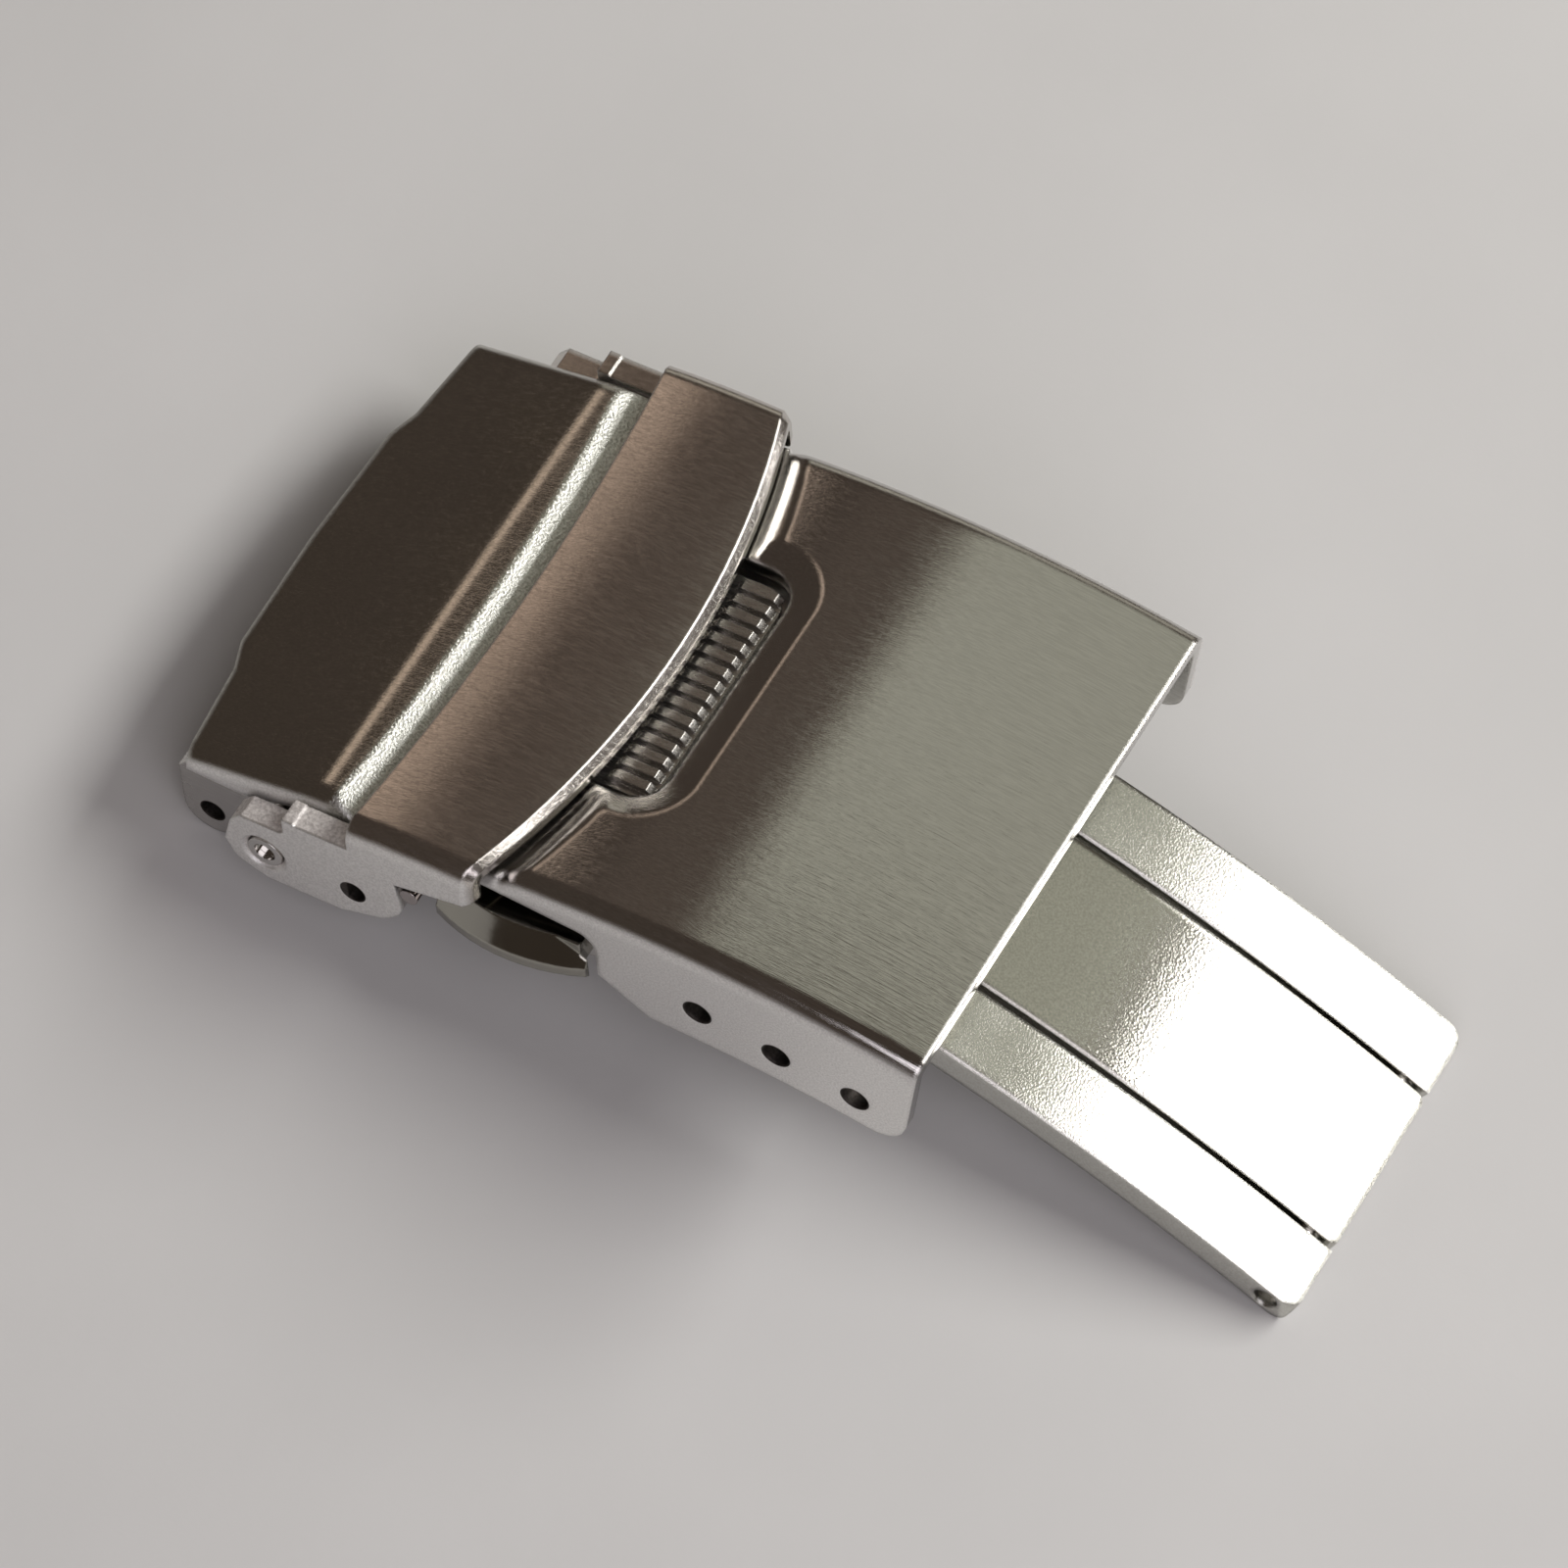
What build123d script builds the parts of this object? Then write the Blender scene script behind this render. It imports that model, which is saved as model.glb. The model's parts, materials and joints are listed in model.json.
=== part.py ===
from build123d import *
import math
import os

# Double-lock push-button deployant clasp, closed, in millimetres.
# The clasp is drawn in its own upright frame: X runs from the bracelet end (left) to the fold end
# (right), Y across the bracelet, Z up. At the end everything turns by the resting angle, so that
# the clasp lies on z = 0 on its bracelet lugs and on the tip of its blades.

CUT_OVERRUN = 3.0
NEAR_SHARE = 0.001
ALIGNED_SHARE = 0.9
RUNNING_CLEARANCE = 0.05
SLIDING_CLEARANCE = 0.06

# Cover shell: the wide stamped channel with the adjustment holes.
COVER_WIDTH = 20.0
COVER_SHEET = 0.6
COVER_CREST_X = 16.5
COVER_CREST_Z = 1.3
COVER_TOP_RADIUS = 46.5
COVER_RIGHT_X = 27.6
COVER_RIGHT_LEAN = 0.75
COVER_WALL_HEIGHT = 4.72
COVER_CORNER_RADIUS = 1.1
COVER_EDGE_RADIUS = 0.75
INNER_BEND_SHARE = 0.6
APRON_DROP = 0.45
APRON_LENGTH = 1.05
APRON_MOUTH_RADIUS = 1.4
CREST_RADIUS = 0.6
RECESS_RIGHT_X = 15.15
RECESS_HALF_WIDTH = 5.15
RECESS_CORNER_RADIUS = 1.3
ADJUST_HOLE_RADIUS = 0.5
ADJUST_HOLE_X = 19.4
ADJUST_HOLE_Z = -1.87
ADJUST_PITCH = 2.95
ADJUST_SLOPE = 10.5
ADJUST_HOLES = 3
SLOT_TOP_Z = -0.2
SLOT_TOP_RISE = 0.45
SLOT_RIGHT_X = 15.65
SLOT_BOTTOM_Z = -2.15
SLOT_END_RADIUS = 0.75
SLOT_FOOT_X = 17.5

# Safety lock: the strap that flips up, with its two ears.
LOCK_SHEET = 0.58
LOCK_SIDE_GAP = 0.37
LOCK_WIDTH = COVER_WIDTH + 2 * (LOCK_SHEET + LOCK_SIDE_GAP)
LIP_X = 13.35
LIP_RADIUS = 33.0
LIP_GAP = 0.15
LIP_UNDERLAP = 0.45
LIP_BEVEL = 0.26
LOCK_LEFT_X = 7.5
LOCK_LEFT_RADIUS = 94.0
LOCK_CREST_X = 10.0
LOCK_CREST_Z = 1.75
LOCK_TOP_RADIUS = 40.0
LOCK_EDGE_RADIUS = 0.8
LOCK_WALL_LEFT_Z = -0.45
LOCK_WALL_END_LENGTH = 0.32
LOCK_WALL_RIGHT_Z = 0.05
LOCK_WALL_END_RADIUS = 0.2
LOCK_PIVOT_X = 3.47
EAR_TIP_RADIUS = 1.5
EAR_RISE_SHARE = 0.2
EAR_TOP_SHARE = 0.5
EAR_STEP_SHARE = 0.333
EAR_FOOT_SHARE = 0.25
EAR_BOTTOM_DROP = 1.35
EAR_FLAT_END_X = 6.3
EAR_HEEL_X = 8.0
EAR_HEEL_DROP = 0.8
NOTCH_FLOOR_Z = -0.32
NOTCH_RIGHT_X = 4.4
TOOTH_WIDTH = 0.45
TOOTH_TOP_Z = 0.52
SHELF_Z = 0.45
SHELF_RIGHT_X = 6.9
EAR_HOLE_X = 6.9
EAR_HOLE_RADIUS = 0.45
EAR_HOLE_FLAT = 0.2
EAR_COUNTERSINK = 0.18
EAR_THICKNESS = 0.95

# Snap pins that the ears' hooks close round.
SNAP_PIN_X = 9.1
SNAP_PIN_Z = -0.92
SNAP_PIN_RADIUS = 0.33
SNAP_PIN_DEPTH = 2.4
SNAP_HOOK_CLEARANCE = 0.12

# Thumb grip under the lip.
GRIP_LEFT_X = 8.0
GRIP_RIGHT_X = 14.85
GRIP_HALF_WIDTH = 4.75
GRIP_TOP_Z = 0.62
GRIP_BOTTOM_Z = 0.02
GRIP_CORNER_RADIUS = 0.9
RIB_COUNT = 16
RIB_PITCH = 0.575
RIB_WIDTH = 0.36
RIB_HEIGHT = 0.24
RIB_LENGTH = 1.7
RIB_BEVEL = 0.22
RIB_LEFT_X = 13.05
GRIP_STEP_X = 11.6

# End cover: the stamped plate over the bracelet end.
END_SHEET = 0.5
END_SIDE_STEP = 0.15
END_WIDTH = COVER_WIDTH - 2 * END_SIDE_STEP
END_SHOULDER_X = -0.05
END_STEP_X = -0.45
END_STEP_DEPTH = 0.4
END_TONGUE_X = -1.0
END_STEP_OUTER_Y = 6.0
END_STEP_INNER_Y = 4.9
END_TOP_Z = 0.0
END_CREASE_X = 5.05
END_CREASE_Z = 0.82
END_SHOULDER_RISE = 0.02
END_RIDGE_RADIUS = 2.5
END_ROLL_WIDTH = 1.2
END_ROLL_DROP = 0.55
END_RIGHT_GAP = 0.25
END_EDGE_RADIUS = 0.7
END_WALL_LEFT_Z = -0.75
END_WALL_DEEP_X = 2.1
END_WALL_DEEP_Z = -0.88
END_WALL_RIGHT_Z = 0.0

# Blades: an arched fork and the tongue inside it.
BLADE_THICKNESS = 1.2
BLADE_CREST_X = 12.07
BLADE_CREST_Z = -1.86
BLADE_JOIN_ANGLE = 21.0
BLADE_INNER_RADIUS = 40.0
BLADE_OUTER_RADIUS = 66.0
BLADE_END_X = 39.2
BLADE_END_ROUND = 0.5
TONGUE_WIDTH_SHARE = 0.3275
TONGUE_WIDTH = COVER_WIDTH * TONGUE_WIDTH_SHARE
FORK_WIDTH_SHARE = 0.6175
FORK_WIDTH = COVER_WIDTH * FORK_WIDTH_SHARE
BLADE_GAP = 0.24
ARM_CORNER_RADIUS = 0.6
TONGUE_CORNER_RADIUS = 0.3
ARM_KNUCKLE_RADIUS = 0.78
FOLD_PIN_RADIUS = 0.4
FOLD_PIN_INSET = 0.8
FOLD_PIN_RECESS = 0.55
FORK_PIVOT_X = 16.9
FORK_PIN_RADIUS = 0.4
FORK_BRIDGE_THICKNESS = 0.65
FORK_BRIDGE_LENGTH = 1.3
FORK_BRIDGE_CLEARANCE = 0.14

# End frame: cheeks with the bracelet lugs, and the web between them.
FRAME_SIDE_GAP = 0.1
FRAME_WIDTH = END_WIDTH - 2 * (END_SHEET + FRAME_SIDE_GAP)
CHEEK_THICKNESS = 1.3
FRAME_RIGHT_X = 8.1
LUG_HOLE_X = 0.27
LUG_HOLE_Z = -3.7
LUG_HOLE_RADIUS = 0.45
LUG_RADIUS = 1.1
LUG_RISE_Z = -0.6
WEB_LEFT_X = 4.7
PLATE_LEFT_X = 1.75
PLATE_SHOULDER_X = 7.9
FRAME_RIVET_RADIUS = 0.5
FRAME_RIVET_X = 6.4
FRAME_RIVET_Y = 5.4
FRAME_RIVET_HEAD = 0.15
FRAME_RIVET_HEAD_RADIUS = 0.8
PIVOT_TUBE_RADIUS = 0.65
PIVOT_TUBE_BORE = 0.4
PIVOT_BLADE_GAP = 0.19
PIVOT_PIN_RECESS = 0.25

# Latch housing with its two push buttons, springs and catch post.
HOUSING_LEFT_X = 8.45
HOUSING_RIGHT_X = 15.95
HOUSING_TOP_Z = -0.24
HOUSING_SIDE_GAP = 0.05
CHAMBER_LEFT_X = 10.0
CHAMBER_RIGHT_X = 15.25
CHAMBER_TOP_Z = -0.5
TONGUE_TOP_GAP = 0.11
CHAMBER_BOTTOM_Z = BLADE_CREST_Z + TONGUE_TOP_GAP
BASE_PLATE_THICKNESS = 0.55
PASSAGE_CLEARANCE = 0.22
PAD_LEFT_X = 14.1
PAD_INNER_Y = 6.2
PAD_OUTER_Y = 8.6
PIVOT_CHEEK_GAP = 0.12
PIVOT_CHEEK_THICKNESS = 1.6
PIVOT_CHEEK_RADIUS = 0.75
HOUSING_RIVET_RADIUS = 0.25
HOUSING_RIVET_GRIP = 0.4
HOUSING_RIVET_Y = 5.2
HOUSING_RIVET_LEFT_X = 9.2
BUTTON_OVERHANG = 0.2
BUTTON_TOP_Z = -0.55
BUTTON_BOTTOM_Z = -2.1
BUTTON_STAND_OUT = 1.0
BUTTON_END_STAND_OUT = 0.42
BUTTON_RIM_BEVEL = 0.2
BUTTON_SLANT_HEIGHT = 0.95
BUTTON_SLANT_WIDTH = 0.6
BUTTON_EDGE_RADIUS = 0.1
BUTTON_TRAVEL = 0.8
BUTTON_BODY_LENGTH = 4.4
HOOK_ARM_WIDTH = 0.75
HOOK_TOOTH_WIDTH = 0.8
HOOK_TOOTH_LENGTH = 2.0
HOOK_NECK_CLEARANCE = 0.06
HOOK_THICKNESS = 0.6
HOOK_TOP_Z = -0.95
POST_NECK_RADIUS = 0.8
POST_HEAD_RADIUS = 1.3
POST_HEAD_THICKNESS = 0.5
POST_HEAD_CLEARANCE = 0.06
POST_WINDOW_CLEARANCE = 0.2
POST_TENON_RADIUS = 0.6
SPRING_MEAN_RADIUS = 0.3
SPRING_WIRE_RADIUS = 0.07
SPRING_TURNS = 7
SPRING_X = 14.2
SPRING_Z = -1.13
SPRING_SEAT_Y = 3.0
SPRING_SEAT_LEFT_X = 13.3
SPRING_SEAT_THICKNESS = 0.3
SPRING_POCKET_RADIUS = 0.44
SPRING_POCKET_DEPTH = 2.2
SPRING_END_GAP = 0.03


def side(edges):
    """A closed outline in the plane of the side view, from edges given as (x, z) curves."""
    return make_face(Plane.XZ * Wire([edge for curve in edges for edge in curve.edges()]))


def box_between(x0, x1, y0, y1, z0, z1):
    return Pos((x0 + x1) / 2, (y0 + y1) / 2, (z0 + z1) / 2) * Box(x1 - x0, y1 - y0, z1 - z0)


def across(face, width):
    """Extrude a side-view face over a width that is centred on Y = 0."""
    return extrude(face, amount=width / 2, both=True)


def rod(x, z, radius, y0, y1):
    """A round bar along Y."""
    bar = Cylinder(radius, y1 - y0, rotation=(90, 0, 0))
    return Pos(x, (y0 + y1) / 2, z) * bar


def on_arc(x, crest_x, crest_z, radius):
    """Height of a round arch at x."""
    return crest_z - radius + math.sqrt(radius**2 - (x - crest_x) ** 2)


def arch(x0, x1, crest_x, crest_z, radius):
    """Edge along a round arch from x0 to x1."""
    middle = (x0 + x1) / 2
    points = [(x, on_arc(x, crest_x, crest_z, radius)) for x in (x0, middle, x1)]
    return ThreePointArc(*points)


def mirror_pair(solid):
    return [solid, mirror(solid, about=Plane.XZ)]


def one(shape):
    """The solid of a shape that holds just one."""
    return shape.solids()[0] if len(shape.solids()) == 1 else shape


# Blade geometry: two tangent arcs whose angles are measured from the upright.

JOIN = math.radians(BLADE_JOIN_ANGLE)
INNER_CENTRE = (BLADE_CREST_X, BLADE_CREST_Z - BLADE_INNER_RADIUS)
BLADE_JOIN_X = INNER_CENTRE[0] + BLADE_INNER_RADIUS * math.sin(JOIN)
OUTER_CENTRE = (
    BLADE_JOIN_X - BLADE_OUTER_RADIUS * math.sin(JOIN),
    INNER_CENTRE[1] + (BLADE_INNER_RADIUS - BLADE_OUTER_RADIUS) * math.cos(JOIN),
)


def blade_point(x, depth):
    """Point at a depth below the blade's top face, on the normal that meets the top at x."""
    outer = x > BLADE_JOIN_X
    centre = OUTER_CENTRE if outer else INNER_CENTRE
    radius = BLADE_OUTER_RADIUS if outer else BLADE_INNER_RADIUS
    angle = math.asin((x - centre[0]) / radius)
    reach = radius - depth
    return (centre[0] + reach * math.sin(angle), centre[1] + reach * math.cos(angle))


def blade_top(x):
    return blade_point(x, 0)[1]


def blade_face(x0, x1):
    """Side view of the curved plate from x0 to x1, across the joint of its two arcs."""
    def curve(depth, start, end):
        middle = (start + end) / 2
        return ThreePointArc(*[blade_point(x, depth) for x in (start, middle, end)])

    t = BLADE_THICKNESS
    if x1 > BLADE_JOIN_X:
        top = [curve(0, x0, BLADE_JOIN_X), curve(0, BLADE_JOIN_X, x1)]
        bottom = [curve(t, x1, BLADE_JOIN_X), curve(t, BLADE_JOIN_X, x0)]
    else:
        top = [curve(0, x0, x1)]
        bottom = [curve(t, x1, x0)]
    ends = [Line(blade_point(x1, 0), blade_point(x1, t)), Line(blade_point(x0, t), blade_point(x0, 0))]
    return side(top + ends[:1] + bottom + ends[1:])


def fold_pin_place():
    """Centre of the fold hinge pin: mid-thickness, a little in from the blade's end."""
    return blade_point(BLADE_END_X - FOLD_PIN_INSET, BLADE_THICKNESS / 2)


FORK_PIVOT = blade_point(FORK_PIVOT_X, BLADE_THICKNESS / 2)
FOLD_PIVOT = fold_pin_place()
LOCK_PIVOT_Z = blade_top(LOCK_PIVOT_X) + PIVOT_TUBE_RADIUS + PIVOT_BLADE_GAP
LOCK_PIVOT = (LOCK_PIVOT_X, LOCK_PIVOT_Z)
EAR_BOTTOM_Z = LOCK_PIVOT_Z - EAR_BOTTOM_DROP
EAR_HEEL_Z = LOCK_PIVOT_Z - EAR_HEEL_DROP
POST_X = (CHAMBER_LEFT_X + CHAMBER_RIGHT_X) / 2


def lip_edge(y, gap=0):
    """Place along X of the lip's arc at y, or of the cover's cut edge that follows it at a gap."""
    radius = LIP_RADIUS + gap
    return LIP_X - LIP_RADIUS + math.sqrt(radius**2 - y**2)


LOCK_WALL_RIGHT_X = lip_edge(LOCK_WIDTH / 2) - LOCK_WALL_END_LENGTH


# Plan outlines

def front_tool(grow, reach):
    """Plan region cut from the cover's left end: an arc that follows the lip, and the grip's recess."""
    radius = LIP_RADIUS + reach + grow
    centre_x = LIP_X - LIP_RADIUS
    left = LIP_X - CUT_OVERRUN
    right = RECESS_RIGHT_X + grow
    half = RECESS_HALF_WIDTH + grow
    disc = Pos(centre_x, 0) * Circle(radius)
    recess = Pos((left + right) / 2, 0) * Rectangle(right - left, 2 * half)
    near = Pos(LIP_X, 0) * Rectangle(LIP_RADIUS / 2, COVER_WIDTH * 2)
    plan = (disc + recess) & near
    ends = plan.vertices().filter_by(lambda v: abs(v.X - right) < half * NEAR_SHARE)
    plan = fillet(ends, RECESS_CORNER_RADIUS + grow)
    return Pos(0, 0, -COVER_WALL_HEIGHT * 2) * extrude(plan, amount=COVER_WALL_HEIGHT * 4)


def cover_bulk(inset, open_end):
    """The cover's outer body, or its hollow when inset by the sheet's thickness."""
    wall_z = COVER_CREST_Z - COVER_WALL_HEIGHT
    left = LIP_X - COVER_WALL_HEIGHT
    crest_z = COVER_CREST_Z - inset
    radius = COVER_TOP_RADIUS - inset
    right = COVER_RIGHT_X + open_end
    foot = right - COVER_RIGHT_LEAN
    low = wall_z - open_end
    bottom = lambda x: on_arc(x, COVER_CREST_X, low, COVER_TOP_RADIUS)
    top_z = lambda x: on_arc(x, COVER_CREST_X, crest_z, radius)
    face = side([
        arch(left, right, COVER_CREST_X, crest_z, radius),
        Line((right, top_z(right)), (foot, bottom(foot))),
        arch(foot, left, COVER_CREST_X, low, COVER_TOP_RADIUS),
        Line((left, bottom(left)), (left, top_z(left))),
    ])
    if not inset:
        corner = face.vertices().sort_by_distance((foot, 0, bottom(foot)))[0]
        face = fillet(corner, COVER_CORNER_RADIUS)
    return across(face, COVER_WIDTH - 2 * inset)


def rounded_bends(body, inset):
    """Round the two long bends between the top and the side walls."""
    half = COVER_WIDTH / 2 - inset
    top = body.faces().sort_by(lambda f: f.center().Z)[-1]
    bends = top.edges().filter_by(lambda e: abs(abs(e.center().Y) - half) < half * NEAR_SHARE)
    return fillet(bends, COVER_EDGE_RADIUS - min(inset, COVER_EDGE_RADIUS * INNER_BEND_SHARE))


def apron_tool(drop):
    """Region above the drawn-down left edge: it slopes away from the lip's arc and from the recess."""
    start = COVER_CREST_Z - APRON_DROP - drop
    height = COVER_WALL_HEIGHT
    run = height * APRON_LENGTH / APRON_DROP
    radius = LIP_RADIUS + LIP_GAP
    cone = Pos(LIP_X - LIP_RADIUS, 0, start + height / 2) * Cone(radius, radius + run, height)
    left = LIP_X - CUT_OVERRUN
    plan = Pos((left + RECESS_RIGHT_X) / 2, 0) * RectangleRounded(
        RECESS_RIGHT_X - left, 2 * RECESS_HALF_WIDTH, RECESS_CORNER_RADIUS
    )
    slant = math.degrees(math.atan2(APRON_LENGTH, APRON_DROP))
    frustum = Pos(0, 0, start) * extrude(plan, amount=APRON_DROP + drop, taper=-slant)
    tool = cone + frustum
    hinge = tool.edges().filter_by(
        lambda e: start < e.center().Z < start + APRON_DROP + drop
        and e.center().X > LIP_X - RECESS_CORNER_RADIUS
        and abs(
            math.hypot(e.center().X - LIP_X + LIP_RADIUS, e.center().Y)
            - radius - (e.center().Z - start) * APRON_LENGTH / APRON_DROP
        ) < APRON_LENGTH * NEAR_SHARE
    )
    return fillet(hinge, APRON_MOUTH_RADIUS)


def adjust_hole_places():
    slope = math.radians(ADJUST_SLOPE)
    step_x = ADJUST_PITCH * math.cos(slope)
    step_z = ADJUST_PITCH * math.sin(slope)
    return [(ADJUST_HOLE_X + n * step_x, ADJUST_HOLE_Z - n * step_z) for n in range(ADJUST_HOLES)]


def cover_hollow():
    """The space under the cover's sheet, open below, at the right end and at the cut edge."""
    hollow = rounded_bends(cover_bulk(COVER_SHEET, CUT_OVERRUN), COVER_SHEET)
    hollow -= front_tool(-COVER_SHEET / 2, -LIP_UNDERLAP)
    slope = math.atan2(APRON_DROP, APRON_LENGTH)
    return hollow - apron_tool(COVER_SHEET / math.cos(slope))


def slot_face():
    """Side view of the cut-out for the push button, open to the left and below."""
    left = CHAMBER_LEFT_X - BUTTON_OVERHANG - CUT_OVERRUN
    foot = BUTTON_BOTTOM_Z - COVER_WALL_HEIGHT
    slot_left = LIP_X - APRON_LENGTH * 2
    wall_foot = on_arc(SLOT_FOOT_X, COVER_CREST_X, COVER_CREST_Z - COVER_WALL_HEIGHT, COVER_TOP_RADIUS)
    corners = [
        (left, SLOT_TOP_Z + SLOT_TOP_RISE * (SLOT_RIGHT_X - left) / (SLOT_RIGHT_X - slot_left)),
        (SLOT_RIGHT_X, SLOT_TOP_Z),
        (SLOT_RIGHT_X, SLOT_BOTTOM_Z),
        (SLOT_FOOT_X, wall_foot),
        (SLOT_FOOT_X, foot),
        (left, foot),
    ]
    face = side([Polyline(*corners, close=True)])
    upper = face.vertices().sort_by_distance((SLOT_RIGHT_X, 0, SLOT_TOP_Z))[0]
    return fillet(upper, SLOT_END_RADIUS)


def soft_crest(body):
    """Round the line where the cover's top turns down towards the lip."""
    near = COVER_SHEET * NEAR_SHARE
    limit = RECESS_RIGHT_X + 2 * APRON_LENGTH
    crest = body.edges().filter_by(
        lambda e: e.center().X < limit and abs(e.center().Y) < COVER_WIDTH / 2 - COVER_EDGE_RADIUS - near
        and all(
            abs(p.Z - on_arc(p.X, COVER_CREST_X, COVER_CREST_Z, COVER_TOP_RADIUS)) < near
            for p in (e.position_at(0), e.position_at(1))
        ) and abs(e.position_at(0).Y - e.position_at(1).Y) > near
    )
    return fillet(crest, CREST_RADIUS)


def cover_shell(hollow):
    bulk = rounded_bends(cover_bulk(0, 0), 0)
    apron = apron_tool(0)
    disc = Cylinder(LIP_RADIUS + LIP_GAP, COVER_WALL_HEIGHT * 4)
    flange = (bulk - apron) & (Pos(LIP_X - LIP_RADIUS, 0, 0) * disc)
    body = soft_crest(bulk - front_tool(0, LIP_GAP) - apron)
    body += flange - front_tool(0, -LIP_UNDERLAP)
    body -= hollow
    body -= across(slot_face(), COVER_WIDTH * 2)
    for x, z in adjust_hole_places():
        body -= rod(x, z, ADJUST_HOLE_RADIUS, -COVER_WIDTH, COVER_WIDTH)
    return one(body)


# Safety lock

def lock_arc(x0, x1, inset=0):
    return arch(x0, x1, LOCK_CREST_X, LOCK_CREST_Z - inset, LOCK_TOP_RADIUS - inset)


def hook_radius():
    """Radius about the lock pivot that just passes the snap pins."""
    reach = math.dist(LOCK_PIVOT, (SNAP_PIN_X, SNAP_PIN_Z))
    return reach - SNAP_PIN_RADIUS - RUNNING_CLEARANCE


def ear_and_wall():
    """Side view of one side of the lock: ear, notches, tooth and the wall under the strap."""
    right = LIP_X
    left_x = SHELF_RIGHT_X
    top_left = on_arc(left_x, LOCK_CREST_X, LOCK_CREST_Z, LOCK_TOP_RADIUS)
    top_right = on_arc(right, LOCK_CREST_X, LOCK_CREST_Z, LOCK_TOP_RADIUS)
    tooth = NOTCH_RIGHT_X + TOOTH_WIDTH
    tip = EAR_TIP_RADIUS
    tip_x = LOCK_PIVOT_X - tip
    toe = (tip_x + tip * EAR_FOOT_SHARE, EAR_BOTTOM_Z + tip * EAR_STEP_SHARE)
    hook = hook_radius()
    hook_top = LOCK_PIVOT_X + math.sqrt(hook**2 - (LOCK_WALL_LEFT_Z - LOCK_PIVOT_Z) ** 2)
    heel = LOCK_PIVOT_X + math.sqrt(hook**2 - (EAR_HEEL_Z + tip / 2 - LOCK_PIVOT_Z) ** 2)
    outline = Polyline(
        (tip_x, LOCK_PIVOT_Z),
        (tip_x + tip * EAR_RISE_SHARE, NOTCH_FLOOR_Z - tip * EAR_STEP_SHARE),
        (tip_x + tip * EAR_TOP_SHARE, NOTCH_FLOOR_Z),
        (NOTCH_RIGHT_X, NOTCH_FLOOR_Z),
        (NOTCH_RIGHT_X, TOOTH_TOP_Z),
        (tooth, TOOTH_TOP_Z),
        (tooth, SHELF_Z),
        (left_x, SHELF_Z),
        (left_x, top_left),
    )
    down = Polyline(
        (right, top_right),
        (right, LOCK_WALL_RIGHT_Z),
        (LOCK_WALL_RIGHT_X, LOCK_WALL_RIGHT_Z),
        (hook_top, LOCK_WALL_LEFT_Z),
        (heel, EAR_HEEL_Z + tip / 2),
        (EAR_HEEL_X, EAR_HEEL_Z),
        (EAR_FLAT_END_X, EAR_BOTTOM_Z),
        (LOCK_PIVOT_X, EAR_BOTTOM_Z),
        toe,
        (tip_x, LOCK_PIVOT_Z),
    )
    face = side([outline, lock_arc(left_x, right), down])
    face = side_fillet(face, (heel, EAR_HEEL_Z + tip / 2), tip / 2)
    face = side_fillet(face, (EAR_HEEL_X, EAR_HEEL_Z), tip / 2)
    face = side_fillet(face, toe, tip / 2)
    return side_fillet(face, (NOTCH_RIGHT_X, NOTCH_FLOOR_Z), TOOTH_WIDTH / 2)


def side_fillet(face, place, radius):
    """Round the corner of a side-view face that lies nearest to a place."""
    corner = face.vertices().sort_by_distance((place[0], 0, place[1]))[0]
    return fillet(corner, radius)


def ear_hole_tool():
    """D-shaped hole in each ear, with its flat to the left."""
    bar = rod(EAR_HOLE_X, LOCK_PIVOT_Z, EAR_HOLE_RADIUS, -LOCK_WIDTH, LOCK_WIDTH)
    flat = EAR_HOLE_X - EAR_HOLE_FLAT
    keep = box_between(
        flat, flat + EAR_HOLE_RADIUS * 4, -LOCK_WIDTH, LOCK_WIDTH,
        LOCK_PIVOT_Z - EAR_HOLE_RADIUS * 2, LOCK_PIVOT_Z + EAR_HOLE_RADIUS * 2,
    )
    return bar & keep


def lip_top_edge(body):
    """Upper edge of the strap's lip, between the two side bends."""
    near = LOCK_SHEET * NEAR_SHARE
    return body.edges().filter_by(
        lambda e: all(
            abs(p.X - lip_edge(p.Y)) < near
            and abs(p.Z - on_arc(p.X, LOCK_CREST_X, LOCK_CREST_Z, LOCK_TOP_RADIUS)) < near
            for p in (e.position_at(0), e.position_at(1))
        )
    )


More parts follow.
